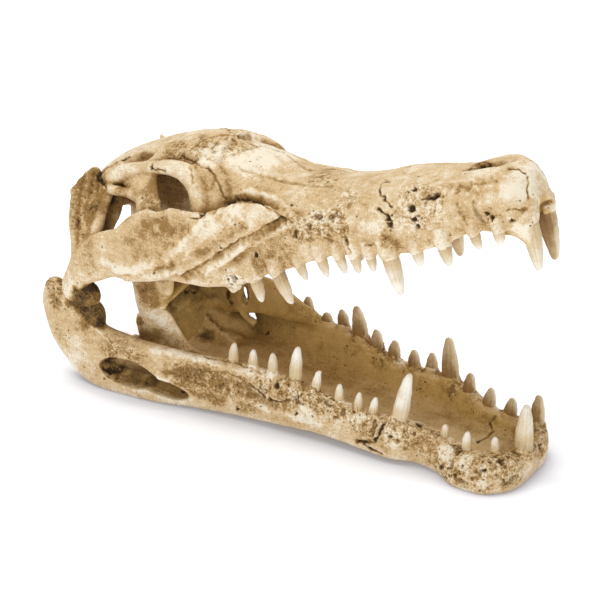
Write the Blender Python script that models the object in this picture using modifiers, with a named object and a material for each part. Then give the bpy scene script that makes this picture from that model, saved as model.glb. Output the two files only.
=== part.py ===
"""Cast resin ornament in the shape of a crocodile skull, with its mouth held open.

The skull is modelled whole, as two jaws, and parted with thin cuts into the regions
a person would name. All shape values are in millimetres and are turned to metres
at the end. The lower jaw is laid out on the ground frame: X runs forward to the
snout, -Y is the animal's right side, Z is up from the ground. The upper skull is laid
out in its own level frame, with its origin between the two jaw joints, and is
then lifted by the gape.
"""
import math

import bmesh
import bpy
import numpy as np
from mathutils import Matrix, Vector

MM = 0.001
OBJECT_NAME = "crocodile_skull_ornament"

# Driving dimensions, in millimetres and degrees
GAPE = 22.0                 # how far the upper skull is lifted about the jaw joints
JOINT_X = -118.0            # the line through the jaw joints
JOINT_Z = 48.0
JOINT_Y = 46.0              # from the middle plane to each joint
PART_GAP = 0.35             # width of the thin cuts between the pieces
BASE_LEVEL = -2.2           # height at which the underside is trimmed to level flats
JAW_VOXEL = 1.7             # grain of the jaws before they are thinned out
UPPER_TRIANGLES = 2030      # what each jaw is thinned out to, before its teeth are joined on
LOWER_TRIANGLES = 1570
SHARP_EDGE = 40.0

# Where the upper skull meets the lower jaw: a point (X, Z) and the plane's rise per unit
STRUT_MEETS = (JOINT_X + 34.0, 37.5)
STRUT_SLOPE = 0.50
STRUT_WIDTHS = (25.5, 60.0)     # from the middle plane outward: where the strut's end is cut
LEAF_WIDTHS = (0.0, 36.0)
JOINT_MEETS = (JOINT_X - 2.0, 44.5)
JOINT_SLOPE = -0.50
JOINT_WIDTHS = (34.0, 60.0)
TRIM_DEPTH = 60.0               # how far a trimming block runs on past its plane

# Thin cuts through the upper skull, in its own frame, and through the lower jaw
SNOUT_CUT = 101.0
CHEEK_CUT = 33.0
TABLE_CUT = 45.0
PTERYGOID_CUT = -8.0
JAW_FRONT_CUT = 212.0
FLOOR_REAR_HALF = 41.0
FLOOR_FRONT_HALF = 14.0
FLOOR_CUT_TOP = 11.0
REACH = 320.0               # larger than the skull in every direction

RIGHT = -1
LEFT = 1

# Dry-brushed resin: pale outside, brown where the mouth shows its inside
PALE = (0.72, 0.62, 0.45, 1.0)
STAINED = (0.60, 0.49, 0.32, 1.0)
BROWN = (0.33, 0.24, 0.12, 1.0)
PIECE_COLOURS = {"snout": PALE, "skull_table": PALE, "braincase": PALE,
                 "cheek_right": PALE, "cheek_left": PALE,
                 "pterygoid": BROWN, "jaw_right": STAINED, "jaw_left": STAINED,
                 "jaw_front": STAINED, "jaw_floor": BROWN}
ROUGHNESS = 0.8


# ---------------------------------------------------------------- small tools

def clear_scene():
    for item in list(bpy.data.objects):
        bpy.data.objects.remove(item, do_unlink=True)


def make_collection(name):
    collection = bpy.data.collections.new(name)
    bpy.context.scene.collection.children.link(collection)
    return collection


def make_material(piece_name):
    material = bpy.data.materials.new(piece_name + "_resin")
    material.use_nodes = True
    shader = material.node_tree.nodes["Principled BSDF"]
    shader.inputs["Base Color"].default_value = PIECE_COLOURS[piece_name]
    shader.inputs["Roughness"].default_value = ROUGHNESS
    shader.inputs["Metallic"].default_value = 0.0
    return material


def smooth_rows(rows, steps):
    """Rows of numbers with a Catmull-Rom curve's in-between rows added."""
    known = np.array(rows, dtype=float)
    known = np.vstack([2 * known[0] - known[1], known, 2 * known[-1] - known[-2]])
    result = []
    for before, start, end, after in zip(known, known[1:], known[2:], known[3:]):
        for step in range(steps):
            t = step / steps
            result.append(0.5 * (2 * start + (end - before) * t
                                 + (2 * before - 5 * start + 4 * end - after) * t ** 2
                                 + (3 * start - before - 3 * end + after) * t ** 3))
    result.append(known[-2])
    return np.array(result)


def skin_rings(form, rings):
    """Closed body through rings that have equal numbers of points."""
    loops = [[form.verts.new(point) for point in ring] for ring in rings]
    count = len(loops[0])
    faces = [form.faces.new(loops[0]), form.faces.new(loops[-1])]
    for first, second in zip(loops, loops[1:]):
        for i in range(count):
            j = (i + 1) % count
            faces.append(form.faces.new((first[i], first[j], second[j], second[i])))
    bmesh.ops.recalc_face_normals(form, faces=faces)


def bar(form, side, flat, stations, steps=3, sides=12):
    """Bone bar through stations (x, y, z, half width, half thickness).

    flat is the direction of the thickness; side mirrors the bar to the animal's
    right or left.
    """
    rows = smooth_rows(stations, steps)
    centres = [Vector((x, side * y, z)) for x, y, z, _, _ in rows]
    thin_axis = Vector((flat[0], side * flat[1], flat[2]))
    rings = []
    for i, centre in enumerate(centres):
        ahead = centres[min(i + 1, len(centres) - 1)]
        behind = centres[max(i - 1, 0)]
        along = (ahead - behind).normalized()
        thin = (thin_axis - along * thin_axis.dot(along)).normalized()
        wide = along.cross(thin)
        half_width, half_thickness = max(rows[i][3], 0.4), max(rows[i][4], 0.4)
        rings.append([centre + wide * half_width * math.cos(turn)
                      + thin * half_thickness * math.sin(turn)
                      for turn in np.linspace(0, 2 * math.pi, sides, endpoint=False)])
    skin_rings(form, rings)


def ball(form, centre, radii, turn=(0.0, 0.0, 0.0), detail=3):
    """Ellipsoid; turn is in degrees about X, Y and Z."""
    matrix = Matrix.Translation(centre)
    for axis, angle in zip("ZYX", reversed(turn)):
        matrix = matrix @ Matrix.Rotation(math.radians(angle), 4, axis)
    matrix = matrix @ Matrix.Diagonal((*radii, 1.0))
    bmesh.ops.create_icosphere(form, subdivisions=detail, radius=1.0, matrix=matrix)


def form_object(name, form, collection):
    mesh = bpy.data.meshes.new(name)
    form.to_mesh(mesh)
    form.free()
    item = bpy.data.objects.new(name, mesh)
    collection.objects.link(item)
    return item


def guide(item):
    item.hide_render = True
    item.display_type = "WIRE"
    return item


def settled(item):
    """Applies an object's modifiers to its mesh."""
    graph = bpy.context.evaluated_depsgraph_get()
    mesh = bpy.data.meshes.new_from_object(item.evaluated_get(graph))
    item.modifiers.clear()
    item.data = mesh
    return item


def cut(item, cutter, operation="DIFFERENCE"):
    modifier = item.modifiers.new("Cut", "BOOLEAN")
    modifier.operation = operation
    modifier.solver = "EXACT"
    modifier.use_self = operation == "DIFFERENCE"
    modifier.object = cutter
    return settled(item)


def box(name, collection, low, high, turn_y=0.0, turn_z=0.0, pivot=(0.0, 0.0, 0.0)):
    """Box between two corners, then turned about a pivot, in degrees."""
    form = bmesh.new()
    size = Vector(high) - Vector(low)
    middle = (Vector(high) + Vector(low)) / 2
    turned = (Matrix.Translation(pivot) @ Matrix.Rotation(math.radians(turn_z), 4, "Z")
              @ Matrix.Rotation(math.radians(turn_y), 4, "Y")
              @ Matrix.Translation(-Vector(pivot)))
    bmesh.ops.create_cube(form, size=1.0, matrix=turned @ Matrix.Translation(middle)
                          @ Matrix.Diagonal((*size, 1.0)))
    return guide(form_object(name, form, collection))


# ------------------------------------------------- upper skull, in its own frame

# Snout sections: distance forward, half width at the tooth line, widest half width and
# its height, half width of the crown and its height, ridge height, tooth line height
SNOUT_SECTIONS = [
    (84, 33, 33, 6, 17, 40, 54.0, -8),
    (98, 35, 36, 6, 22, 39.5, 50.2, -12),
    (110, 34, 35.5, 10, 25, 33.8, 44.0, -13),
    (121, 33, 35, 14, 24, 27.2, 33.6, -12.5),
    (131, 31.5, 33.5, 16, 22, 24.0, 27.0, -12),
    (142, 30, 32.5, 14, 20, 22.6, 25.2, -11),
    (156, 28.5, 31, 10, 18.5, 19, 22.2, -10),
    (175, 28, 29.5, 6, 18.5, 16.5, 20.5, -11.5),
    (191, 28.5, 30, 2, 18.5, 16.5, 20.5, -13.3),
    (205, 26, 27, 3, 18, 15, 19.6, -15),
    (220, 22.5, 24, 3, 17, 13.5, 16.8, -14.4),
    (234, 18.5, 20, 3, 15, 12.5, 15.0, -12),
    (247, 17.5, 19, 2, 13.5, 12.5, 14.8, -14),
    (256.5, 14, 16, 1, 11.5, 11.2, 13.4, -15.5),
    (262.5, 9.5, 11, 0, 7.5, 9.3, 11.6, -14),
    (265.5, 5, 6, 0, 4, 6.0, 8.4, -10),
]
PALATE_RISE = 6.0           # how far the palate is vaulted above the tooth line

# Roof sections: distance forward, half width, ridge height, edge height, underside height
ROOF_SECTIONS = [
    (15, 10, 52.5, 50.8, 44),
    (21, 20, 55.5, 52.0, 43),
    (33, 22.5, 58.0, 52.5, 43),
    (48, 22, 59.3, 52.6, 42),
    (62, 21, 59.3, 52.5, 42),
    (76, 21, 59.0, 49.5, 39),
    (88, 22, 57.2, 47.0, 34),
    (100, 24, 53.4, 41.0, 28),
]


def snout_ring(row):
    x, base, wide, wide_z, crown, crown_z, ridge, tooth_z = row
    half = [(0.0, ridge), (0.55 * crown, ridge - 0.35 * (ridge - crown_z)), (crown, crown_z),
            (0.35 * crown + 0.65 * wide, 0.45 * crown_z + 0.55 * wide_z), (wide, wide_z),
            (base + 0.8, 0.5 * (wide_z + tooth_z)), (base, tooth_z),
            (0.84 * base, tooth_z), (0.66 * base, tooth_z + 0.7 * PALATE_RISE),
            (0.0, tooth_z + PALATE_RISE)]
    mirrored = [(-y, z) for y, z in reversed(half[1:-1])]
    return [Vector((x, y, z)) for y, z in half + mirrored]


def roof_ring(row):
    x, half_width, ridge, edge, under = row
    half = [(0.0, ridge), (0.4 * half_width, ridge - 0.12 * (ridge - edge)),
            (0.75 * half_width, ridge - 0.5 * (ridge - edge)), (half_width, edge),
            (half_width - 2.0, edge - 4.5), (0.5 * half_width, under), (0.0, under)]
    mirrored = [(-y, z) for y, z in reversed(half[1:-1])]
    return [Vector((x, y, z)) for y, z in half + mirrored]


def add_snout(form):
    skin_rings(form, [snout_ring(row) for row in smooth_rows(SNOUT_SECTIONS, 3)])


def add_roof(form):
    skin_rings(form, [roof_ring(row) for row in smooth_rows(ROOF_SECTIONS, 3)])


def add_nostril_rim(form):
    for side in (RIGHT, LEFT):
        bar(form, side, (0, 0.3, 1), [(228, 5, 13, 3, 2), (236, 9.5, 13, 3, 2.4),
                                      (246, 11, 13, 3, 2.6), (254, 8, 12, 3, 2.6),
                                      (258, 0, 11.5, 3, 2.4)])


def add_braincase(form):
    """Braincase, occiput with its round condyle, and the floor of the skull."""
    bar(form, RIGHT, (0, 1, 0), [(21, 0, 31, 13, 6), (28, 0, 27, 19, 10), (42, 0, 23, 25, 13),
                                 (60, 0, 22, 26, 13), (78, 0, 20, 26, 14), (96, 0, 16, 24, 20)])
    ball(form, (22.0, 0, 21), (5.5, 5.5, 5.0))
    bar(form, RIGHT, (0, 0, 1), [(34, 0, -4, 15, 3), (50, 0, -4.5, 20, 3), (70, 0, -4.5, 25, 3),
                                 (92, 0, -4.5, 29, 3)])


def add_quadrate(form, side):
    """Wing of the occiput, ragged rear plate and the shaft down to the jaw joint."""
    bar(form, side, (1, 0, 0), [(24, 2, 38, 9, 5), (21, 14, 40, 8.5, 4), (16, 27, 44, 8, 3.5),
                                (12, 36, 44, 6, 3)])
    bar(form, side, (0.4, 1, 0), [(30, 25, 52.5, 5.5, 1.8), (27.5, 29, 50, 9, 2), (22.7, 35, 43, 10.4, 2.4),
                                  (19, 39.5, 33, 9.4, 3), (17.5, 43, 22, 8.3, 4.2),
                                  (14.5, 45, 13, 8, 4.8), (7.5, 46, 5, 7.5, 5.5), (3, 46, 0, 6.5, 5.5)])
    bar(form, side, (0.3, 1, 0.2), [(35, 27, 47, 2.8, 2.4), (32, 33, 40, 2.8, 2.6), (29, 38, 33, 3, 2.8),
                                    (26, 42, 26, 3.4, 3), (19, 45, 17, 4.5, 4)])
    bar(form, side, (0.25, 1, 0), [(26, 24, 48, 9, 2.2), (26.5, 26, 38, 9, 2.2), (21.5, 30, 26, 6, 2.4),
                                   (18, 36, 17, 5, 2.5)])
    ball(form, (1, side * JOINT_Y, 0), (6.0, 6.0, 7.5))
    ball(form, (3, side * 42, 1), (6.5, 5.0, 7.5))
    ball(form, (4.7, side * 42, -5.5), (8.5, 5.5, 8.0))


def add_window_bars(form, side):
    """Bars round the eye and the skull table, laid on after the openings are cut."""
    bar(form, side, (0, 0, 1), [(21, 20, 48.7, 4, 3.4), (27, 24, 49.3, 5.2, 4.2), (36, 25, 49.6, 5.2, 4.5),
                                (46, 24.5, 50.4, 4.6, 4.2), (56, 24, 50.6, 3.8, 3.2),
                                (66, 24.5, 50, 3.2, 2.8), (72, 24.5, 49.5, 3, 2.8)])
    bar(form, side, (0, 1, 0.3), [(29, 29, 46.5, 2.6, 2.4), (35, 31, 44.2, 2.6, 2.4),
                                  (42, 32, 42.6, 2.5, 2.4), (48, 31.5, 40, 2.5, 2.4),
                                  (52, 30.5, 36.5, 3, 2.4)])
    bar(form, side, (0, 1, 0.5), [(56, 24.5, 49.5, 2.4, 2.4), (66, 26, 49.5, 3.2, 3),
                                  (77, 27, 48, 4.2, 3.4), (86, 28, 43.5, 5.2, 4),
                                  (91, 30, 36.5, 5.6, 4.2), (91.5, 32.5, 29, 5.4, 4),
                                  (89, 35, 21, 4.8, 3.6)])
    bar(form, side, (0.2, 1, 0.3), [(88, 22, 44, 8, 5), (96, 25, 37, 9, 5), (99, 28, 28, 9, 5),
                                    (99, 31, 18, 8, 5)])
    bar(form, side, (0.1, 1, 0.4), [(54, 24, 48, 15, 2.8), (55, 26.5, 44.5, 11.5, 2.8),
                                    (57.2, 29.5, 40, 7.8, 2.8), (61, 36.5, 31.5, 8.4, 3),
                                    (63, 41, 26, 11, 3.2)])
    bar(form, side, (0, 1, 0), [(46, 8, 40, 15, 3.5), (60, 9, 39, 15, 3.5), (75, 10, 38, 15, 3.5),
                                (88, 13, 36, 15, 4), (98, 17, 34, 14, 4)])


def add_cheek(form, side):
    """Broad cheek plate, from the jaw joint to the leaf-shaped tip on the snout.

    The cast is not quite even: the tip on the left sits a little lower.
    """
    drop = 3.5 if side == LEFT else 0.0
    bar(form, side, (0, 1, 0), [
        (0, 46, 3, 5, 5.5), (10, 46.5, 7.5, 7.5, 5), (20, 46.5, 12, 11, 4.8), (32, 46, 14.6, 12.6, 5),
        (44, 45.5, 13.2, 14.2, 5.2), (58, 44.5, 14.4, 18.4, 5.2), (72, 43, 14.5, 19, 5.2),
        (86, 41, 12, 17, 5), (99, 38, 11.5 - 0.5 * drop, 13.5, 4.4),
        (112, 35.6, 14 - drop, 11, 4), (126, 33.8, 17 - drop, 7.5, 3.4),
        (136, 32.8, 16 - drop, 4, 2.8), (142, 32.2, 14.5 - drop, 1.5, 2)])
    bar(form, side, (0.3, 1, 0.5), [(40, 47, 2, 3, 2.5), (60, 46.5, 0, 3, 3), (76, 45.5, 2, 3, 3),
                                    (88, 43.5, 9 - drop, 3, 3), (98, 40.5, 16 - drop, 3.5, 3),
                                    (114, 37.5, 19 - drop, 4, 3)])
    bar(form, side, (0, 1, 0), [(60, 39, -2, 3, 3.5), (74, 38.5, -5.5, 4, 4), (88, 37.5, -8, 5.5, 4.2),
                                (102, 35.5, -8.5, 6.5, 4.4), (116, 34, -7, 7.5, 4)])


def add_pterygoid(form):
    """Plate behind the mouth and the two struts that go down to the lower jaw."""
    for side in (RIGHT, LEFT):
        bar(form, side, (0.5, 0, 1), [(50, -3, -8, 10, 3.2), (47, 8, -9, 11, 3), (42, 17, -12, 10.5, 3),
                                      (37, 24, -17, 9, 3), (34, 27, -21, 8, 3)])
        bar(form, side, (1, 0, 0.35), [(43, -3, -19, 15.5, 2.6), (42, 10, -20.8, 16.8, 2.5),
                                       (39, 19, -25, 19, 2.5), (36, 26, -27, 19, 2.5)])
        bar(form, side, (0, 1, 0.1), [(42, 29, 8, 19, 3.5), (39, 28, -1, 17.5, 3.5),
                                      (37, 28, -8, 16, 3.4), (32.2, 28, -15, 9.5, 3.2),
                                      (30.4, 28, -21, 8, 3.2), (30.2, 28, -27, 8, 3.4)])


def upper_form():
    form = bmesh.new()
    add_snout(form)
    add_roof(form)
    add_nostril_rim(form)
    add_braincase(form)
    for side in (RIGHT, LEFT):
        add_quadrate(form, side)
        add_cheek(form, side)
    add_pterygoid(form)
    return form


def upper_bars():
    form = bmesh.new()
    for side in (RIGHT, LEFT):
        add_window_bars(form, side)
    return form


def upper_openings():
    """Orbits, fenestrae, nostril and the hole for the spinal cord."""
    form = bmesh.new()
    for side in (RIGHT, LEFT):
        ball(form, (74, side * 31, 37.5), (12.0, 17.0, 10.5), (0, 10, 0))
        ball(form, (47, side * 17.6, 56.0), (11.5, 4.4, 5.0), (0, 6, 0))
        ball(form, (44, side * 29, 44.0), (6.5, 7.0, 3.2), (0, 15, 0))
        ball(form, (45, side * 37.5, 38.2), (14.5, 15.0, 8.6), (0, -38, 0))
    ball(form, (243, 0, 17), (9.5, 6.8, 8.0))
    ball(form, (17, 0, 38), (8.0, 4.5, 4.0))
    return form


# --------------------------------------------- lower jaw, on the ground frame

# Jaw wall stations: X and half width of the tooth line, top and bottom height, how far
# the wall stands outside that line at its top, middle and bottom, and inside it
# at its top and bottom. X is measured forward from the line of the jaw joints.
JAW_STATIONS = [
    (-19, 46, 43, 35, 2.5, 3, 2.5, 3, 3),
    (-14, 46, 51, 20, 4, 4.5, 3.6, 4.5, 4.5),
    (-5, 46, 48, 8.5, 4.5, 5, 4, 5, 5),
    (7, 46, 38, 0, 4, 5.2, 4.5, 5, 5),
    (20, 46, 32, -2.2, 3, 5.5, 5.6, 4, 4),
    (38, 45.5, 30.5, -2.6, 2.5, 5, 4.8, 3.5, 4),
    (56, 43.5, 29.5, -2.2, 2.5, 4.5, 4.0, 3.5, 4.5),
    (75, 39, 28, -1.2, 2.5, 4, 4.3, 4, 5),
    (93, 34.5, 28.5, -0.4, 3, 4, 5.4, 4, 6),
    (110, 32.6, 27.7, 0, 3, 4, 4.8, 4, 7),
    (128, 30.5, 26.3, 0.7, 3.2, 4.4, 5, 4, 7),
    (146, 28.2, 22.5, 1.3, 3.5, 4.8, 5.5, 4, 7),
    (166, 27.2, 19.8, 0.8, 3.5, 5.4, 6.2, 4, 7),
    (185, 26.8, 20.6, -0.2, 3.8, 5.4, 6, 4.2, 7),
    (198, 23.5, 19.5, -0.6, 3.4, 4.2, 4.2, 4.2, 7),
    (211, 20.8, 16.4, -1.6, 3.6, 5, 4.6, 4.2, 7),
    (224, 20.6, 12.8, -2.6, 4.5, 7.5, 7.5, 4.5, 7),
    (236, 21.5, 13.8, -2.6, 4.5, 7.5, 7.5, 4.5, 7),
    (243.5, 17.5, 14.2, -2.6, 4, 6, 5.5, 4.5, 7),
    (248.5, 9, 14.5, -2.4, 3.5, 4.2, 3.2, 4.5, 7),
    (249.5, 0, 14, -2.2, 2.6, 2.6, 1.6, 4.5, 7),
]
# The cast is not even: how much further out the wall stands on each side near the front
FRONT_SWELL = [(185, 0, 0), (198, 0.5, 0), (211, 3, 0), (224, 6, -0.5), (236, 5, -2.5),
               (243.5, 3, -3), (249.5, 0, -0.5)]
FLOOR_TOP = 4.5             # the basin's floor, and how far back and forward it runs
FLOOR_REAR_X = 8.0
FLOOR_FRONT_X = 246.0


def add_jaw_wall(form, side):
    rows = smooth_rows(JAW_STATIONS, 3)
    along, right_swell, left_swell = zip(*FRONT_SWELL)
    rings = []
    for i, row in enumerate(rows):
        x, y, top, bottom, out_top, out_middle, out_bottom, in_top, in_bottom = row
        swell = np.interp(x, along, right_swell if side == RIGHT else left_swell)
        out_top, out_middle, out_bottom = out_top + 0.3 * swell, out_middle + swell, out_bottom + swell
        ahead, behind = rows[min(i + 1, len(rows) - 1)], rows[max(i - 1, 0)]
        outward = Vector((ahead[1] - behind[1], ahead[0] - behind[0])).normalized()
        outward.x *= -1
        if i == len(rows) - 1:
            outward = Vector((1.0, 0.0))
        section = [(-in_top, top - 1.0), (0.0, top), (out_top, top - 1.5),
                   (out_middle, 0.45 * top + 0.55 * bottom), (out_bottom, bottom + 1.2),
                   (out_bottom - 1.2, bottom), (-in_bottom + 2, bottom), (-in_bottom, bottom + 2.5),
                   (-in_top - 1.0, 0.6 * top + 0.4 * bottom)]
        rings.append([Vector((JOINT_X + x + outward.x * out, side * max(y + outward.y * out, -1.0), z))
                      for out, z in section])
    skin_rings(form, rings)


def add_jaw_floor(form):
    rows = []
    for x, y, *_ in smooth_rows(JAW_STATIONS, 3):
        if FLOOR_REAR_X <= x <= FLOOR_FRONT_X:
            rows.append((x, y - 3.0))
    rings = [[Vector((JOINT_X + x, y, z)) for y, z in
              [(-half, 1.0), (half, 1.0), (half, FLOOR_TOP + 3), (0.6 * half, FLOOR_TOP),
               (-0.6 * half, FLOOR_TOP), (-half, FLOOR_TOP + 3)]] for x, half in rows]
    skin_rings(form, rings)


def add_leaf(form, side):
    """Thin inner leaf of the ramus that meets the strut; the left one reaches further."""
    if side == RIGHT:
        stations = [(30.5, 30, 28, 7.5, 3), (35, 29, 29, 9.5, 3), (40, 29, 31, 11, 3),
                    (45, 29, 31, 11.8, 3), (48.5, 29, 29, 10, 3), (54, 29.5, 26, 8.6, 2.8),
                    (61, 30, 23.5, 5, 2.8), (68, 30.5, 22, 3.5, 2.8), (82, 31, 22.5, 3.3, 3),
                    (94, 31, 24.5, 3, 3)]
    else:
        stations = [(25, 30, 24, 5, 3), (31, 29, 27, 9, 3), (40, 29, 30, 12, 3),
                    (50, 29, 31, 13, 2.6), (64, 28.5, 33.5, 12, 2.6), (76, 28.5, 33, 11.5, 2.6),
                    (88, 29, 30.5, 8, 2.8), (102, 30, 28, 4, 3)]
    bar(form, side, (0, 1, 0), [(JOINT_X + x, y, z, wide, thin) for x, y, z, wide, thin in stations])
    bar(form, side, (0, 0.5, 1), [(JOINT_X + 26, 36, 17, 10, 3), (JOINT_X + 40, 35, 18, 9, 3),
                                  (JOINT_X + 49, 34, 21, 5, 3), (JOINT_X + 66, 33, 23, 4, 3)])
    ball(form, (JOINT_X + 9.5, side * 42, 34), (8.5, 5.5, 9.5))


def add_far_shelf(form):
    """Slope at the foot of the left leaf, with a low ridge, that runs out on the floor."""
    ball(form, (JOINT_X + 41, LEFT * 34, 9), (18.0, 9.0, 8.5), (0, 8, 0))
    bar(form, LEFT, (0, 0, 1), [(JOINT_X + 26, 29, 8, 5, 5), (JOINT_X + 34, 27, 7, 6, 5),
                                (JOINT_X + 45, 24.5, 5, 6, 5), (JOINT_X + 57, 22, 4, 5, 4)])


def lower_form():
    form = bmesh.new()
    for side in (RIGHT, LEFT):
        add_jaw_wall(form, side)
        add_leaf(form, side)
    add_far_shelf(form)
    add_jaw_floor(form)
    return form


def lower_openings():
    """Window through each ramus, long on the right, and the gap in the left one's leaf."""
    form = bmesh.new()
    ball(form, (JOINT_X + 38, RIGHT * 49, 10.6), (18.0, 12.0, 7.6), (0, 3, 0))
    ball(form, (JOINT_X + 57, RIGHT * 47, 7.6), (17.0, 12.5, 5.2), (0, 9, 0))
    ball(form, (JOINT_X + 50, LEFT * 48, 10.8), (10.5, 12.0, 6.6), (0, 3, 0))
    ball(form, (JOINT_X + 45, LEFT * 44, 22), (4.0, 12.0, 6.5))
    ball(form, (JOINT_X + 57, LEFT * 29, 32), (3.2, 6.0, 8.0))
    return form


def lower_bars():
    """Thin rear edge of the left leaf, beside its gap, laid on after the cuts."""
    form = bmesh.new()
    bar(form, LEFT, (0, 1, 0), [(JOINT_X + x, y, z, 2, 2) for x, y, z in
                                ((54, 28.5, 38), (53, 28.5, 30), (53.4, 28.5, 23), (57, 28.5, 18),
                                 (63.5, 28.5, 15))])
    return form


# ---------------------------------------------------------------------- teeth

# Upper teeth of the animal's right side: distance forward, half width, height of the
# gum line, then the tip's lean forward, tooth length and half width at the root
UPPER_TEETH = [
    (111, 33.0, -12.5, -0.4, 13.6, 3.2), (124.5, 31.5, -12.0, 3.0, 17.6, 3.6),
    (138, 29.6, -10.8, 1.7, 8.4, 2.5), (151, 28.2, -9.6, 0.6, 10.0, 2.7),
    (161.5, 27.4, -9.8, 1.0, 9.6, 2.6), (170.5, 27.2, -10.9, -0.4, 9.7, 2.6),
    (180, 27.4, -11.8, -1.0, 9.0, 2.6), (191.3, 27.6, -13.2, -0.8, 21.0, 4.2),
    (205, 24.6, -14.0, -0.3, 8.5, 2.8), (219, 21.8, -13.5, -0.4, 11.7, 3.3),
    (234.6, 18.0, -11.6, 0.6, 8.8, 2.7), (248, 17.2, -12.2, -1.6, 8.2, 2.9),
    (259.3, 7.8, -12.2, -3.0, 25.6, 4.3),
]
STUB_TOOTH = (99.5, 34.6, -11.5, -2.6, 7.4, 3.0)

# Lower teeth: distance forward, half width, height of the gum line, lean, length,
# half width at the root, for the right side and then for the left
LOWER_RIGHT_TEETH = [
    (94.6, 34.0, 28.2, 0.7, 10.4, 2.6), (105.9, 32.8, 27.8, 0.5, 9.8, 2.5),
    (117.6, 32.0, 27.4, 0.1, 11.0, 2.6), (129.9, 30.2, 25.6, 1.8, 19.6, 3.3),
    (140.7, 28.4, 23.4, 2.7, 11.0, 2.4), (154.4, 27.5, 19.6, 0.5, 10.6, 2.3),
    (165.5, 27.1, 19.4, 1.0, 9.6, 2.2), (174.4, 27.3, 20.2, 1.7, 8.8, 2.2),
    (188.2, 25.2, 19.6, 5.8, 26.8, 3.9), (211.3, 20.5, 13.4, 0.6, 8.8, 2.2),
    (224.2, 21.2, 12.8, 0.4, 9.6, 2.4), (237.4, 16.6, 13.8, -0.2, 7.6, 2.2),
]
LOWER_LEFT_TEETH = [
    (93.8, 34.0, 28.2, 0.0, 9.4, 3.0), (106.4, 33.0, 26.6, 0.0, 5.2, 3.0),
    (117.7, 32.1, 27.6, -1.4, 9.4, 3.1), (129.8, 30.2, 25.2, -3.4, 17.4, 3.9),
    (140.8, 28.5, 23.6, -0.5, 9.8, 3.2), (151.6, 27.8, 21.6, 0.4, 9.2, 3.1),
    (164.3, 27.0, 20.2, -0.3, 9.0, 3.0), (174.6, 27.4, 20.8, 0.0, 9.4, 3.0),
    (187.1, 25.4, 20.0, -2.0, 23.0, 4.3), (199.4, 22.6, 17.6, 1.0, 10.6, 3.2),
    (212.2, 20.3, 13.2, 1.6, 11.8, 3.3), (224.4, 20.4, 12.4, 1.6, 10.4, 3.3),
    (240.6, 18.6, 14.2, 0.8, 15.8, 3.6),
]
FRONT_FANG = (248.0, 8.0, 13.6, 1.0, 25.0, 4.4)
TOOTH_ROOT = 4.0            # how deep a tooth's cone starts below the gum line
BIG_TOOTH = 3.5             # root size from which a tooth gets more faces


def add_tooth(form, side, base_x, tooth, down):
    """Cone with a blunt tip, curved a little towards its lean."""
    x, y, gum, lean, length, radius = tooth
    way = -1.0 if down else 1.0
    start = Vector((base_x + x, side * y, gum - way * TOOTH_ROOT))
    tip = Vector((base_x + x + lean, side * y, gum + way * length))
    middle = (start + tip) / 2 + Vector((-0.12 * lean, side * 0.03 * length, 0.0))
    big = radius > BIG_TOOTH
    sides = 8 if big else 6
    shares = ((0.0, 1.28), (0.45, 1.14), (0.8, 0.74), (1.0, 0.28))
    rings = []
    for t, share in shares if big else ((0.0, 1.3), (0.62, 1.08), (1.0, 0.34)):
        centre = start * (1 - t) ** 2 + middle * 2 * t * (1 - t) + tip * t ** 2
        rings.append([centre + Vector((radius * share * math.cos(turn),
                                       0.86 * radius * share * math.sin(turn), 0.0))
                      for turn in np.linspace(0, 2 * math.pi, sides, endpoint=False)])
    skin_rings(form, rings)


def teeth_object(name, collection, base_x, teeth, down):
    form = bmesh.new()
    for side, tooth in teeth:
        add_tooth(form, side, base_x, tooth, down)
    return guide(form_object(name, form, collection))


# ----------------------------------------------------------- making the pieces

def melt(body):
    """Melts crossing shapes into one skin and softens it."""
    remesh = body.modifiers.new("Melt", "REMESH")
    remesh.mode = "VOXEL"
    remesh.voxel_size = JAW_VOXEL
    soften = body.modifiers.new("Soften", "SMOOTH")
    soften.factor = 0.5
    soften.iterations = 2
    settled(body)


def jaw_body(name, form, openings, bars, triangles, cutters):
    """Melts the forms into one body, opens it, lays the late bars on and thins it out."""
    body = guide(form_object(name, form, cutters))
    melt(body)
    cut(body, guide(form_object(name + "_openings", openings, cutters)))
    bars.from_mesh(body.data)
    bars.to_mesh(body.data)
    bars.free()
    melt(body)
    thin = body.modifiers.new("Thin", "DECIMATE")
    whole = len(body.data.polygons) * 2
    thin.ratio = triangles / whole
    thin.use_collapse_triangulate = True
    return settled(body)


def upper_to_ground():
    """Lifts the upper skull by the gape, about the line of the jaw joints."""
    return (Matrix.Translation((JOINT_X, 0.0, JOINT_Z))
            @ Matrix.Rotation(math.radians(-GAPE), 4, "Y"))


def to_ground(item, lifted):
    """Puts a piece in its place on the ground frame, in metres."""
    matrix = Matrix.Scale(MM, 4) @ Matrix.Translation((0.0, 0.0, -BASE_LEVEL))
    if lifted:
        matrix = matrix @ upper_to_ground()
    item.data.transform(matrix)


def piece(name, body, region, collection, lifted):
    """One named piece: the part of a body that lies in a region."""
    item = bpy.data.objects.new(name, body.data.copy())
    collection.objects.link(item)
    cut(item, region, "INTERSECT")
    keep_largest(item)
    to_ground(item, lifted)
    item.data.materials.clear()
    item.data.materials.append(make_material(name))
    item.data.shade_smooth()
    item.data.set_sharp_from_angle(angle=math.radians(SHARP_EDGE))
    return item


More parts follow.
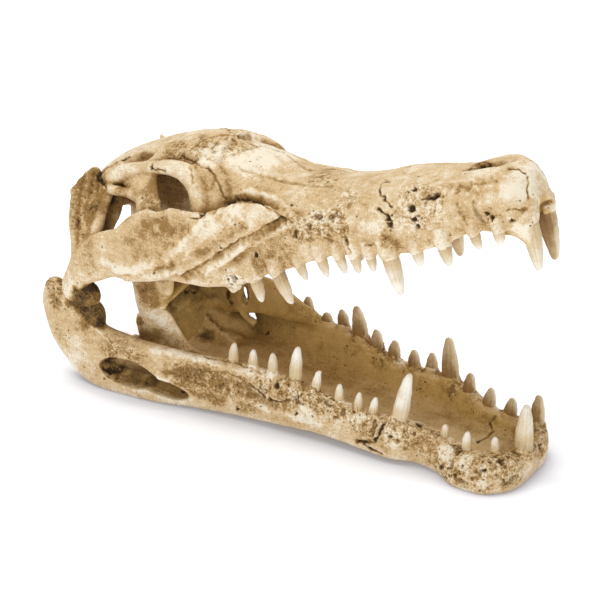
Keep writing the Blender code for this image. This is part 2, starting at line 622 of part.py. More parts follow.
def keep_largest(item):
    """Drops crumbs that a cut leaves beside the piece."""
    form = bmesh.new()
    form.from_mesh(item.data)
    bmesh.ops.remove_doubles(form, verts=form.verts, dist=0.001)
    unseen = set(form.verts)
    groups = []
    while unseen:
        stack = [unseen.pop()]
        group = list(stack)
        while stack:
            for edge in stack.pop().link_edges:
                for vertex in edge.verts:
                    if vertex in unseen:
                        unseen.discard(vertex)
                        stack.append(vertex)
                        group.append(vertex)
        groups.append(group)
    groups.sort(key=len)
    for group in groups[:-1]:
        bmesh.ops.delete(form, geom=group, context="VERTS")
    form.to_mesh(item.data)
    form.free()


def trim(item, name, cutters, point, slope, reach, sides, keep_above):
    """Cuts a body along a sloping plane, to leave half of a thin gap there.

    slope is the plane's rise per unit forward; reach is how far the cut runs back and
    forward of the point; sides is the range of the half width that it covers.
    """
    away = -1.0 if keep_above else 1.0
    angle = -math.degrees(math.atan(slope))
    heights = sorted((point[1] - away * PART_GAP / 2, point[1] + away * TRIM_DEPTH))
    for side in (RIGHT, LEFT):
        widths = sorted((side * sides[0], side * sides[1]))
        block = box(name, cutters, (point[0] - reach[0], widths[0], heights[0]),
                    (point[0] + reach[1], widths[1], heights[1]), angle, 0.0,
                    (point[0], 0.0, point[1]))
        cut(item, block)


def wedge(name, collection, rear, front, low, high, spread):
    """Upright block whose plan narrows forward: rear and front are (x, half width)."""
    form = bmesh.new()
    plan = [(rear[0], -rear[1]), (front[0], -front[1]), (front[0], front[1]), (rear[0], rear[1])]
    middle = (rear[0] + front[0]) / 2
    rings = []
    for z in (low - spread, high + spread):
        rings.append([Vector((x + math.copysign(spread, x - middle), y + math.copysign(spread, y), z))
                      for x, y in plan])
    skin_rings(form, rings)
    return guide(form_object(name, form, collection))


def upper_pieces(upper, parts, cutters):
    half = PART_GAP / 2
    rear, core = SNOUT_CUT - half, CHEEK_CUT - half
    front = box("snout_region", cutters, (SNOUT_CUT + half, -REACH, -REACH), (REACH, REACH, REACH))
    piece("snout", upper, front, parts, True)
    for side, name in ((RIGHT, "cheek_right"), (LEFT, "cheek_left")):
        edges = sorted((side * (CHEEK_CUT + half), side * REACH))
        region = box(name + "_region", cutters, (-REACH, edges[0], -REACH), (rear, edges[1], REACH))
        piece(name, upper, region, parts, True)
    for name, low, high in (("skull_table", TABLE_CUT + half, REACH),
                            ("braincase", PTERYGOID_CUT + half, TABLE_CUT - half),
                            ("pterygoid", -REACH, PTERYGOID_CUT - half)):
        region = box(name + "_region", cutters, (-REACH, -core, low), (rear, core, high))
        piece(name, upper, region, parts, True)


def lower_pieces(lower, parts, cutters):
    half = PART_GAP / 2
    front_x = JOINT_X + JAW_FRONT_CUT
    front = box("jaw_front_region", cutters, (front_x + half, -REACH, BASE_LEVEL), (REACH, REACH, REACH))
    piece("jaw_front", lower, front, parts, False)
    rear = (JOINT_X, FLOOR_REAR_HALF)
    ahead = (front_x - half, FLOOR_FRONT_HALF)
    floor = wedge("jaw_floor_region", cutters, rear, ahead, BASE_LEVEL, FLOOR_CUT_TOP, 0.0)
    piece("jaw_floor", lower, floor, parts, False)
    below = -FLOOR_CUT_TOP
    floor_space = wedge("jaw_floor_space", cutters, rear, ahead, below, FLOOR_CUT_TOP, PART_GAP)
    for side, name in ((RIGHT, "jaw_right"), (LEFT, "jaw_left")):
        edges = sorted((side * half, side * REACH))
        region = box(name + "_region", cutters, (-REACH, edges[0], BASE_LEVEL),
                     (front_x - half, edges[1], REACH))
        cut(region, floor_space)
        piece(name, lower, region, parts, False)


def build():
    clear_scene()
    parts = make_collection(OBJECT_NAME)
    cutters = make_collection("cutters")

    upper = jaw_body("upper_body", upper_form(), upper_openings(), upper_bars(), UPPER_TRIANGLES,
                     cutters)
    upper_teeth = [(side, tooth) for side in (RIGHT, LEFT) for tooth in UPPER_TEETH + [STUB_TOOTH]]
    cut(upper, teeth_object("upper_teeth", cutters, 0.0, upper_teeth, True), "UNION")
    lift = upper_to_ground()
    upper.data.transform(lift)
    trim(upper, "strut_end", cutters, STRUT_MEETS, STRUT_SLOPE, (60, 60), STRUT_WIDTHS, True)
    trim(upper, "condyle_face", cutters, JOINT_MEETS, JOINT_SLOPE, (40, 30), JOINT_WIDTHS, True)
    upper.data.transform(lift.inverted())

    lower = jaw_body("lower_body", lower_form(), lower_openings(), lower_bars(), LOWER_TRIANGLES,
                     cutters)
    lower_teeth = ([(RIGHT, tooth) for tooth in LOWER_RIGHT_TEETH + [FRONT_FANG]]
                   + [(LEFT, tooth) for tooth in LOWER_LEFT_TEETH])
    cut(lower, teeth_object("lower_teeth", cutters, JOINT_X, lower_teeth, False), "UNION")
    trim(lower, "leaf_top", cutters, STRUT_MEETS, STRUT_SLOPE, (30, 20), LEAF_WIDTHS, False)
    trim(lower, "joint_face", cutters, JOINT_MEETS, JOINT_SLOPE, (40, 30), JOINT_WIDTHS, False)

    upper_pieces(upper, parts, cutters)
    lower_pieces(lower, parts, cutters)


build()
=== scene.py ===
"""Looks of a cast resin ornament in the shape of a crocodile skull, mouth held open.

The two jaws are melted from the same bars, sections and balls as the solids, at a
finer grain, and then carved: sutures, cracks, pits, ridges and ragged stretches are
laid on the surface. Teeth grow from points along the tooth rows. The finish is matt
resin: ivory brushed over tan, with brown wash and painted shade wherever it is
hollow, and more painted shade on a few recesses and joints.

Shape values are in millimetres and are turned to metres at the end. The upper skull
is laid out level, with its origin between the jaw joints, and then lifted by the gape.
Carved marks are placed by pixels of the 600 x 600 photograph, through the camera,
onto the surface that they meet, and most of them are mirrored to the far side.
"""
import math

import bmesh
import bpy
import numpy as np
from mathutils import Matrix, Vector
from mathutils.bvhtree import BVHTree
from mathutils.kdtree import KDTree


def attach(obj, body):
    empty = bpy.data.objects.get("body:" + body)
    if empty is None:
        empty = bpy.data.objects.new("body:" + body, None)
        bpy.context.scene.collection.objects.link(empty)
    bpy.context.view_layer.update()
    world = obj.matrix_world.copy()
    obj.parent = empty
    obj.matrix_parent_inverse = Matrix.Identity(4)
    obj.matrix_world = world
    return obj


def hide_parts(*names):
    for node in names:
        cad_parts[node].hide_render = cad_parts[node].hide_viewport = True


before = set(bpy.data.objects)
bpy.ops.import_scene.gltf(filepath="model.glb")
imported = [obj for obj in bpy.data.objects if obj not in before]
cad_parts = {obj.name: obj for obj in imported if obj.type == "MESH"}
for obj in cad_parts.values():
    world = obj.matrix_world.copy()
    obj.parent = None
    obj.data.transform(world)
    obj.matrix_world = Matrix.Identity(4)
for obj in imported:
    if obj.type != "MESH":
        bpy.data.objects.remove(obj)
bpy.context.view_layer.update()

MM = 0.001
RIGHT, LEFT = -1, 1

# Driving dimensions of the solids, in millimetres and degrees
GAPE = 22.0
BASE_LEVEL = -2.2           # height, in the jaws' own layout, of what they rest on
JOINT_X, JOINT_Y, JOINT_Z = -118.0, 46.0, 48.0 - BASE_LEVEL

# Grain of the meshes: voxel while melting, voxel when fine, and the most triangles
COARSE_VOXEL = 1.15
FULL_VOXEL = 0.62
FINE_VOXEL = FULL_VOXEL
SOFTENING_ROUNDS = 9        # at the full voxel; a wider one needs fewer
MOST_TRIANGLES = 196000
THINNEST = 0.4              # least half width and half thickness of a bar, in millimetres
BALL_DETAIL = 4

# Camera of the photograph: it looks at TARGET from AZIMUTH and ELEVATION, in degrees
AZIMUTH, ELEVATION = 34.7, 25.4
LENS, SENSOR, PHOTO_WIDTH = 132.0, 36.0, 600
CAMERA_DISTANCE = 1116.75
TARGET = Vector((JOINT_X + 112.0, 0.0, 53.6 - BASE_LEVEL))


# ---------------------------------------------------------------- camera geometry

def camera_axes():
    """The camera's backward, rightward and upward directions."""
    a, e = math.radians(AZIMUTH), math.radians(ELEVATION)
    back = Vector((math.sin(a) * math.cos(e), -math.cos(a) * math.cos(e), math.sin(e)))
    right = Vector((math.cos(a), math.sin(a), 0.0))
    return back, right, back.cross(right)


def camera_ray(pixel):
    """Start and direction, in millimetres, of the photograph's ray at a pixel."""
    back, right, up = camera_axes()
    focal = LENS / SENSOR * PHOTO_WIDTH
    across, down = pixel[0] - PHOTO_WIDTH / 2, pixel[1] - PHOTO_WIDTH / 2
    way = (right * across - up * down - back * focal).normalized()
    return TARGET + back * CAMERA_DISTANCE, way


# ---------------------------------------------------------------- forms and bars

def smooth_rows(rows, steps):
    """Rows of numbers with a Catmull-Rom curve's in-between rows added."""
    known = np.array(rows, dtype=float)
    known = np.vstack([2 * known[0] - known[1], known, 2 * known[-1] - known[-2]])
    result = []
    for before, start, end, after in zip(known, known[1:], known[2:], known[3:]):
        for step in range(steps):
            t = step / steps
            result.append(0.5 * (2 * start + (end - before) * t
                                 + (2 * before - 5 * start + 4 * end - after) * t ** 2
                                 + (3 * start - before - 3 * end + after) * t ** 3))
    result.append(known[-2])
    return np.array(result)


def skin_rings(form, rings):
    """Closed body through rings that have equal numbers of points."""
    loops = [[form.verts.new(point) for point in ring] for ring in rings]
    count = len(loops[0])
    faces = [form.faces.new(loops[0]), form.faces.new(loops[-1])]
    for first, second in zip(loops, loops[1:]):
        for i in range(count):
            j = (i + 1) % count
            faces.append(form.faces.new((first[i], first[j], second[j], second[i])))
    bmesh.ops.recalc_face_normals(form, faces=faces)


def bar(form, side, flat, stations, steps=5, sides=18):
    """Bone bar through stations (x, y, z, half width, half thickness).

    flat is the direction of the thickness; side mirrors the bar to the animal's
    right or left.
    """
    rows = smooth_rows(stations, steps)
    centres = [Vector((x, side * y, z)) for x, y, z, _, _ in rows]
    thin_axis = Vector((flat[0], side * flat[1], flat[2]))
    rings = []
    for i, centre in enumerate(centres):
        along = (centres[min(i + 1, len(rows) - 1)] - centres[max(i - 1, 0)]).normalized()
        thin = (thin_axis - along * thin_axis.dot(along)).normalized()
        wide = along.cross(thin)
        half_width, half_thickness = max(rows[i][3], THINNEST), max(rows[i][4], THINNEST)
        rings.append([centre + wide * half_width * math.cos(turn)
                      + thin * half_thickness * math.sin(turn)
                      for turn in np.linspace(0, 2 * math.pi, sides, endpoint=False)])
    skin_rings(form, rings)


def ball(form, centre, radii, turn=(0.0, 0.0, 0.0)):
    """Ellipsoid; turn is in degrees about X, Y and Z."""
    matrix = Matrix.Translation(centre)
    for axis, angle in zip("ZYX", reversed(turn)):
        matrix = matrix @ Matrix.Rotation(math.radians(angle), 4, axis)
    matrix = matrix @ Matrix.Diagonal((*radii, 1.0))
    bmesh.ops.create_icosphere(form, subdivisions=BALL_DETAIL, radius=1.0, matrix=matrix)


def ring_from_half(x, half):
    """Closed section from its half outline (y, z), top middle first and bottom last."""
    mirrored = [(-y, z) for y, z in reversed(half[1:-1])]
    return [Vector((x, y, z)) for y, z in half + mirrored]


LONGEST_SOCKET_TOOTH = 12.0     # the socket of a longer tooth is like this one's, in millimetres


# ------------------------------------------------- upper skull, in its own frame

# Snout sections: distance forward, half width at the tooth line, widest half width and
# its height, half width of the crown and its height, ridge height, tooth line height
SNOUT_SECTIONS = [
    (84, 33, 33, 6, 17, 40, 54.0, -8),
    (98, 35, 36, 6, 22, 39.5, 50.2, -12),
    (110, 34, 35.5, 10, 25, 33.8, 44.0, -13),
    (121, 33, 35, 14, 24, 27.2, 33.6, -12.5),
    (131, 31.5, 33.5, 16, 22, 24.0, 27.0, -12),
    (142, 30, 32.5, 14, 20, 22.6, 25.2, -11),
    (156, 28.5, 31, 10, 18.5, 19, 22.2, -10),
    (175, 28, 29.5, 6, 18.5, 16.5, 20.5, -11.5),
    (191, 28.5, 30, 2, 18.5, 16.5, 20.5, -13.3),
    (205, 26, 27, 3, 18, 15, 19.6, -15),
    (220, 22.5, 24, 3, 17, 13.5, 16.8, -14.4),
    (234, 18.5, 20, 3, 15, 12.5, 15.0, -12),
    (247, 17.5, 19, 2, 13.5, 12.5, 14.8, -14),
    (256.5, 14, 16, 1, 11.5, 11.2, 13.4, -15.5),
    (262.5, 9.5, 11, 0, 7.5, 9.3, 11.6, -14),
    (265.5, 5, 6, 0, 4, 6.0, 8.4, -10),
]
PALATE_RISE = 6.0           # how far the palate is vaulted above the tooth line

# Roof sections: distance forward, half width, ridge height, edge height, underside height
ROOF_SECTIONS = [
    (15, 10, 52.5, 50.8, 44),
    (21, 20, 55.5, 52.0, 43),
    (33, 22.5, 58.0, 52.5, 43),
    (48, 22, 59.3, 52.6, 42),
    (62, 21, 59.3, 52.5, 42),
    (76, 21, 59.0, 49.5, 39),
    (88, 22, 57.2, 47.0, 34),
    (100, 24, 53.4, 41.0, 28),
]


def snout_ring(row):
    x, base, wide, wide_z, crown, crown_z, ridge, tooth_z = row
    return ring_from_half(x, [
        (0.0, ridge), (0.3 * crown, ridge - 0.12 * (ridge - crown_z)),
        (0.6 * crown, ridge - 0.4 * (ridge - crown_z)), (crown, crown_z),
        (0.35 * crown + 0.65 * wide, 0.45 * crown_z + 0.55 * wide_z), (wide, wide_z),
        (base + 0.8, 0.5 * (wide_z + tooth_z)), (base, tooth_z), (0.84 * base, tooth_z),
        (0.72 * base, tooth_z + 0.5 * PALATE_RISE), (0.5 * base, tooth_z + 0.85 * PALATE_RISE),
        (0.0, tooth_z + PALATE_RISE)])


def roof_ring(row):
    x, half_width, ridge, edge, under = row
    return ring_from_half(x, [
        (0.0, ridge), (0.4 * half_width, ridge - 0.12 * (ridge - edge)),
        (0.75 * half_width, ridge - 0.5 * (ridge - edge)), (half_width, edge),
        (half_width - 2.0, edge - 4.5), (0.5 * half_width, under), (0.0, under)])


def add_braincase(form):
    """Braincase, occiput with its round condyle, and the floor of the skull."""
    bar(form, RIGHT, (0, 1, 0), [(21, 0, 31, 13, 6), (28, 0, 27, 19, 10), (42, 0, 23, 25, 13),
        (60, 0, 22, 26, 13), (78, 0, 20, 26, 14), (96, 0, 16, 24, 20)])
    ball(form, (22.0, 0, 21), (5.5, 5.5, 5.0))
    bar(form, RIGHT, (0, 0, 1), [(34, 0, -4, 15, 3), (50, 0, -4.5, 20, 3), (70, 0, -4.5, 25, 3),
        (92, 0, -4.5, 29, 3)])


def add_quadrate(form, side):
    """Wing of the occiput, ragged rear plate and the shaft down to the jaw joint."""
    bar(form, side, (1, 0, 0), [(24, 2, 38, 9, 5), (21, 14, 40, 8.5, 4), (16, 27, 44, 8, 3.5),
        (12, 36, 44, 6, 3)])
    bar(form, side, (0.4, 1, 0), [(30, 25, 52.5, 5.5, 1.4), (27.5, 29, 50, 9, 1.8),
        (22.7, 35, 43, 10.4, 2.2), (19, 39.5, 33, 9.4, 3.0), (17.5, 43, 22, 8.3, 4.2),
        (14.5, 45, 13, 8, 4.8), (7.5, 46, 5, 7.5, 5.5), (3, 46, 0, 6.5, 5.5)])
    bar(form, side, (0.3, 1, 0.2), [(35, 27, 47, 2.6, 2), (32, 33, 40, 2.6, 2.4),
        (29, 38, 33, 2.8, 2.6), (26, 42, 26, 3.4, 3), (19, 45, 17, 4.5, 4)])
    bar(form, side, (0.3, 1, 0.2), [(33, 28, 47, 2.4, 2), (27, 34, 42, 2.6, 2.2),
        (20, 39, 36, 2.8, 2.4), (14, 43, 28, 3, 3)])
    bar(form, side, (0.25, 1, 0), [(26, 24, 48, 9, 2), (26.5, 26, 38, 9, 2), (21.5, 30, 26, 6, 2.2),
        (18, 36, 17, 5, 2.5)])
    ball(form, (1, side * JOINT_Y, 0), (6.0, 6.0, 7.5))
    ball(form, (3, side * 42, 1), (6.5, 5.0, 7.5))
    ball(form, (4.7, side * 42, -5.5), (8.5, 5.5, 8.0))


def add_cheek(form, side):
    """Broad cheek plate, from the jaw joint to the leaf-shaped tip on the snout.

    The cast is not quite even: the tip on the left sits a little lower.
    """
    drop = 3.5 if side == LEFT else 0.0
    bar(form, side, (0, 1, 0), [(0, 46, 3, 5, 5.5), (10, 46.5, 7.5, 7.5, 5),
        (20, 46.5, 12, 11, 4.8), (32, 46, 14.6, 12.6, 5), (44, 45.5, 13.2, 14.2, 5.2),
        (58, 44.5, 14.4, 18.4, 5.2), (72, 43, 14.5, 19, 5.2), (86, 41, 12, 17, 5),
        (99, 38, 11.5 - 0.5 * drop, 13.5, 4.4), (112, 35.6, 14 - drop, 11, 4),
        (126, 33.8, 17 - drop, 7.5, 3.4), (136, 32.8, 16 - drop, 4, 2.8),
        (142, 32.2, 14.5 - drop, 1.5, 2)])
    bar(form, side, (0.3, 1, 0.5), [(40, 47, 2, 3, 2.5), (60, 46.5, 0, 3, 3), (76, 45.5, 2, 3, 3),
        (88, 43.5, 9 - drop, 3, 3), (98, 40.5, 16 - drop, 3.5, 3), (114, 37.5, 19 - drop, 4, 3)])
    bar(form, side, (0, 1, 0), [(60, 39, -2, 3, 3.5), (74, 38.5, -5.5, 4, 4),
        (88, 37.5, -8, 5.5, 4.2), (102, 35.5, -8.5, 6.5, 4.4), (116, 34, -7, 7.5, 4)])


def add_pterygoid(form):
    """Plate behind the mouth and the two struts that go down to the lower jaw."""
    for side in (RIGHT, LEFT):
        bar(form, side, (0.5, 0, 1), [(50, -3, -8, 10, 3.2), (47, 8, -9, 11, 3),
            (42, 17, -12, 10.5, 3), (37, 24, -17, 9, 3), (34, 27, -21, 8, 3)])
        bar(form, side, (1, 0, 0.35), [(43, -3, -19, 15.5, 2.6), (42, 10, -20.8, 16.8, 2.5),
            (39, 19, -25, 19, 2.5), (36, 26, -27, 19, 2.5)])
        bar(form, side, (0, 1, 0.1), [(42, 29, 8, 19, 3.5), (39, 28, -1, 17.5, 3.5),
            (37, 28, -8, 16, 3.4), (32.2, 28, -15, 9.5, 3.2), (30.4, 28, -21, 8, 3.2),
            (30.2, 28, -27, 8, 3.4)])


def add_stub(form, side):
    """Broken stub of a tooth: no more than lumps of bone under the cheek."""
    ball(form, (98.3, side * 34.8, -12.5), (5.2, 3.0, 5.0))
    ball(form, (96.6, side * 34.8, -16.2), (2.6, 2.4, 3.0))
    ball(form, (100.2, side * 34.8, -15.8), (2.2, 2.2, 2.6))


def add_nostril_rim(form):
    for side in (RIGHT, LEFT):
        bar(form, side, (0, 0.3, 1), [(228, 5, 13, 3, 2), (236, 9.5, 13, 3, 2.4),
            (246, 11, 13, 3, 2.6), (254, 8, 12, 3, 2.6), (258, 0, 11.5, 3, 2.4)])


def upper_form():
    form = bmesh.new()
    skin_rings(form, [snout_ring(row) for row in smooth_rows(SNOUT_SECTIONS, 6)])
    skin_rings(form, [roof_ring(row) for row in smooth_rows(ROOF_SECTIONS, 6)])
    add_nostril_rim(form)
    add_braincase(form)
    for side in (RIGHT, LEFT):
        add_quadrate(form, side)
        add_cheek(form, side)
        add_stub(form, side)
    add_pterygoid(form)
    return form


def upper_openings():
    """Orbits, fenestrae, nostril and the hole for the spinal cord."""
    form = bmesh.new()
    for side in (RIGHT, LEFT):
        ball(form, (74, side * 31, 37.5), (12.0, 17.0, 10.5), (0, 10, 0))
        ball(form, (47, side * 17.6, 56.0), (11.5, 4.4, 5.0), (0, 6, 0))
        ball(form, (44, side * 29, 44.0), (6.5, 7.0, 3.2), (0, 15, 0))
        ball(form, (45, side * 37.5, 38.2), (14.5, 15.0, 8.6), (0, -38, 0))
    ball(form, (243, 0, 17), (9.5, 6.8, 8.0))
    ball(form, (17, 0, 38), (8.0, 4.5, 4.0))
    return form


def add_skull_windows(form, side):
    """Bars round the eye and the skull table, laid on after the openings are cut."""
    bar(form, side, (0, 0, 1), [(21, 20, 48.7, 4, 3.4), (27, 24, 49.3, 5.2, 4.2),
        (36, 25, 49.6, 5.2, 4.5), (46, 24.5, 50.4, 4.6, 4.2), (56, 24, 50.6, 3.8, 3.2),
        (66, 24.5, 50, 3.2, 2.8), (72, 24.5, 49.5, 3, 2.8)])
    bar(form, side, (0, 1, 0.3), [(29, 29, 46.5, 2.6, 2.4), (35, 31, 44.2, 2.6, 2.4),
        (42, 32, 42.6, 2.5, 2.4), (48, 31.5, 40, 2.5, 2.4), (52, 30.5, 36.5, 3, 2.4)])
    bar(form, side, (0, 1, 0.5), [(56, 24.5, 49.5, 2.4, 2.4), (66, 26, 49.5, 3.2, 3),
        (77, 27, 48, 4.2, 3.4), (86, 28, 43.5, 5.2, 4), (91, 30, 36.5, 5.6, 4.2),
        (91.5, 32.5, 29, 5.4, 4), (89, 35, 21, 4.8, 3.6)])
    bar(form, side, (0.2, 1, 0.3), [(88, 22, 44, 8, 5), (96, 25, 37, 9, 5), (99, 28, 28, 9, 5),
        (99, 31, 18, 8, 5)])
    bar(form, side, (0.1, 1, 0.4), [(54, 24, 48, 15, 2.8), (55, 26.5, 44.5, 11.5, 2.8),
        (57.2, 29.5, 40, 7.8, 2.8), (61, 36.5, 31.5, 8.4, 3), (63, 41, 26, 11, 3.2)])
    bar(form, side, (0, 1, 0), [(46, 8, 40, 15, 3.5), (60, 9, 39, 15, 3.5), (75, 10, 38, 15, 3.5),
        (88, 13, 36, 15, 4), (98, 17, 34, 14, 4)])


def add_fang_root(form, side):
    """Bone of the snout's tip that runs down behind the fang."""
    bar(form, side, (0, 1, 0), [(254, 10, -11, 12, 5), (255.8, 9.4, -15, 8, 5),
        (256.8, 8.8, -19, 5, 4.4), (257.4, 8.2, -24, 2.5, 3)])


def add_teeth_sockets(form, teeth, base_x, down):
    """Swelling of the bone round each root, which narrows into the tooth.

    Its stations are how far they lie along the tooth, then width and thickness as
    shares of the tooth's.
    """
    way = -1.0 if down else 1.0
    for side, (x, y, gum, lean, length, radius) in teeth:
        short = min(length, LONGEST_SOCKET_TOOTH)
        stations = [(-0.45 * short - 2.0, 1.3, 1.0), (-2.0, 1.32, 1.25), (0.2, 1.2, 1.14),
                    (0.12 * short + 0.4, 1.08, 1.02), (0.18 * short + 0.8, 0.86, 0.84)]
        bar(form, side, (0, 1, 0),
            [(base_x + x + lean * max(rise, 0) / length, y - 0.06 * min(rise, 0) * way, gum + way * rise,
              wide * radius, thick * radius) for rise, wide, thick in stations], steps=3, sides=14)


# -------------------------------------------- lower jaw, X from the line of the joints

# Jaw wall stations: X and half width of the tooth line, top and bottom height, how far
# the wall stands outside that line at its top, middle and bottom, and inside it
# at its top and bottom
JAW_STATIONS = [
    (-19, 46, 43, 35, 2.5, 3, 2.5, 3, 3),
    (-14, 46, 51, 20, 4, 4.5, 3.6, 4.5, 4.5),
    (-5, 46, 48, 8.5, 4.5, 5, 4, 5, 5),
    (7, 46, 38, 0, 4, 5.2, 4.5, 5, 5),
    (20, 46, 32, -2.2, 3, 5.5, 5.6, 4, 4),
    (38, 45.5, 30.5, -2.6, 2.5, 5, 4.8, 3.5, 4),
    (56, 43.5, 29.5, -2.2, 2.5, 4.5, 4.0, 3.5, 4.5),
    (75, 39, 28, -1.2, 2.5, 4, 4.3, 4, 5),
    (93, 34.5, 28.5, -0.4, 3, 4, 5.4, 4, 6),
    (110, 32.6, 27.7, 0, 3, 4, 4.8, 4, 7),
    (128, 30.5, 26.3, 0.7, 3.2, 4.4, 5, 4, 7),
    (146, 28.2, 22.5, 1.3, 3.5, 4.8, 5.5, 4, 7),
    (166, 27.2, 19.8, 0.8, 3.5, 5.4, 6.2, 4, 7),
    (185, 26.8, 20.6, -0.2, 3.8, 5.4, 6, 4.2, 7),
    (198, 23.5, 19.5, -0.6, 3.4, 4.2, 4.2, 4.2, 7),
    (211, 20.8, 16.4, -1.6, 3.6, 5, 4.6, 4.2, 7),
    (224, 20.6, 12.8, -2.6, 4.5, 7.5, 7.5, 4.5, 7),
    (236, 21.5, 13.8, -2.6, 4.5, 7.5, 7.5, 4.5, 7),
    (243.5, 17.5, 14.2, -2.6, 4, 6, 5.5, 4.5, 7),
    (248.5, 9, 14.5, -2.4, 3.5, 4.2, 3.2, 4.5, 7),
    (249.5, 0, 14, -2.2, 2.6, 2.6, 1.6, 4.5, 7),
]
# The cast is not even: how much further out the wall stands on each side near the front
FRONT_SWELL = [(185, 0, 0), (198, 0.5, 0), (211, 3, 0), (224, 6, -0.5), (236, 5, -2.5),
               (243.5, 3, -3), (249.5, 0, -0.5)]
FLOOR_TOP = 4.5             # the basin's floor, and how far back and forward it runs
FLOOR_REAR_X, FLOOR_FRONT_X = 8.0, 246.0


def add_jaw_wall(form, side):
    rows = smooth_rows(JAW_STATIONS, 5)
    along, right_swell, left_swell = zip(*FRONT_SWELL)
    rings = []
    for i, row in enumerate(rows):
        x, y, top, bottom, out_top, out_middle, out_bottom, in_top, in_bottom = row
        swell = np.interp(x, along, right_swell if side == RIGHT else left_swell)
        out_top, out_middle, out_bottom = out_top + 0.3 * swell, out_middle + swell, out_bottom + swell
        ahead, behind = rows[min(i + 1, len(rows) - 1)], rows[max(i - 1, 0)]
        outward = Vector((behind[1] - ahead[1], ahead[0] - behind[0])).normalized()
        if i == len(rows) - 1:
            outward = Vector((1.0, 0.0))
        section = [(-in_top, top - 1.0), (0.0, top), (out_top, top - 1.5),
                   (out_middle, 0.45 * top + 0.55 * bottom), (out_bottom, bottom + 1.2),
                   (out_bottom - 1.2, bottom), (-in_bottom + 2, bottom), (-in_bottom, bottom + 2.5),
                   (-in_top - 1.0, 0.6 * top + 0.4 * bottom)]
        rings.append([Vector((JOINT_X + x + outward.x * out, side * max(y + outward.y * out, -1.0), z))
                      for out, z in section])
    skin_rings(form, rings)


def add_jaw_floor(form):
    rings = []
    for x, y, *_ in smooth_rows(JAW_STATIONS, 5):
        if FLOOR_REAR_X <= x <= FLOOR_FRONT_X:
            half = y - 3.0
            rings.append([Vector((JOINT_X + x, across, z)) for across, z in
                          [(-half, 1.0), (half, 1.0), (half, FLOOR_TOP + 3), (0.6 * half, FLOOR_TOP),
                           (-0.6 * half, FLOOR_TOP), (-half, FLOOR_TOP + 3)]])
    skin_rings(form, rings)


def add_leaf(form, side):
    """Thin inner leaf of the ramus that meets the strut; the left one reaches further."""
    if side == RIGHT:
        stations = [(30.5, 30, 28, 7.5, 3), (35, 29, 29, 9.5, 3), (40, 29, 31, 11, 3),
                    (45, 29, 31, 11.8, 3), (48.5, 29, 29, 10, 3), (54, 29.5, 26, 8.6, 2.8),
                    (61, 30, 23.5, 5, 2.8), (68, 30.5, 22, 3.5, 2.8), (82, 31, 22.5, 3.3, 3),
                    (94, 31, 24.5, 3, 3)]
    else:
        stations = [(25, 30, 24, 5, 3), (31, 29, 27, 9, 3), (40, 29, 30, 12, 3),
                    (50, 29, 31, 13, 2.6), (64, 28.5, 33.5, 12, 2.6), (76, 28.5, 33, 11.5, 2.6),
                    (88, 29, 30.5, 8, 2.8), (102, 30, 28, 4, 3)]
    bar(form, side, (0, 1, 0), [(JOINT_X + x, y, z, wide, thin) for x, y, z, wide, thin in stations])
    bar(form, side, (0, 0.5, 1), [(JOINT_X + 26, 36, 17, 10, 3), (JOINT_X + 40, 35, 18, 9, 3),
        (JOINT_X + 49, 34, 21, 5, 3), (JOINT_X + 66, 33, 23, 4, 3)])
    ball(form, (JOINT_X + 9.5, side * 42, 34), (8.5, 5.5, 9.5))


def add_far_shelf(form):
    """Slope at the foot of the left leaf, with a low ridge, that runs out on the floor."""
    ball(form, (JOINT_X + 41, LEFT * 34, 9), (18.0, 9.0, 8.5), (0, 8, 0))
    bar(form, LEFT, (0, 0, 1), [(JOINT_X + 26, 29, 8, 5, 5), (JOINT_X + 34, 27, 7, 6, 5),
        (JOINT_X + 45, 24.5, 5, 6, 5), (JOINT_X + 57, 22, 4, 5, 4)])


def lower_form():
    form = bmesh.new()
    for side in (RIGHT, LEFT):
        add_jaw_wall(form, side)
        add_leaf(form, side)
    add_far_shelf(form)
    add_jaw_floor(form)
    return form


def lower_openings():
    """Window through each ramus, long on the right, and the gap in the left one's leaf."""
    form = bmesh.new()
    ball(form, (JOINT_X + 38, RIGHT * 49, 10.6), (18.0, 12.0, 7.6), (0, 3, 0))
    ball(form, (JOINT_X + 57, RIGHT * 47, 7.6), (17.0, 12.5, 5.2), (0, 9, 0))
    ball(form, (JOINT_X + 50, LEFT * 48, 10.8), (10.5, 12.0, 6.6), (0, 3, 0))
    ball(form, (JOINT_X + 45, LEFT * 44, 22), (4.0, 12.0, 6.5))
    ball(form, (JOINT_X + 57, LEFT * 29, 32), (3.2, 6.0, 8.0))
    return form


def lower_bars():
    """Thin rear edge of the left leaf, beside its gap, laid on after the cuts."""
    form = bmesh.new()
    bar(form, LEFT, (0, 1, 0), [(JOINT_X + x, y, z, 2, 2) for x, y, z in
                                ((54, 28.5, 38), (53, 28.5, 30), (53.4, 28.5, 23), (57, 28.5, 18),
                                 (63.5, 28.5, 15))])
    return form


# ---------------------------------------------------------------------- teeth

# Upper teeth of the animal's right side: distance forward, half width, height of the
# gum line, then the tip's lean forward, tooth length and half width at the root
UPPER_TEETH = [
    (111, 33.0, -12.5, -0.4, 13.6, 3.2), (124.5, 31.5, -12.0, 3.0, 17.6, 3.6),
    (138, 29.6, -10.8, 1.7, 8.4, 2.5), (151, 28.2, -9.6, 0.6, 10.0, 2.7),
    (161.5, 27.4, -9.8, 1.0, 9.6, 2.6), (170.5, 27.2, -10.9, -0.4, 9.7, 2.6),
    (180, 27.4, -11.8, -1.0, 9.0, 2.6), (191.3, 27.6, -13.2, -0.8, 21.0, 4.2),
    (205, 24.6, -14.0, -0.3, 8.5, 2.8), (219, 21.8, -13.5, -0.4, 11.7, 3.3),
    (234.6, 18.0, -11.6, 0.6, 8.8, 2.7), (248, 17.2, -12.2, -1.6, 8.2, 2.9),
    (259.3, 7.8, -12.2, -3.0, 25.6, 4.3),
]

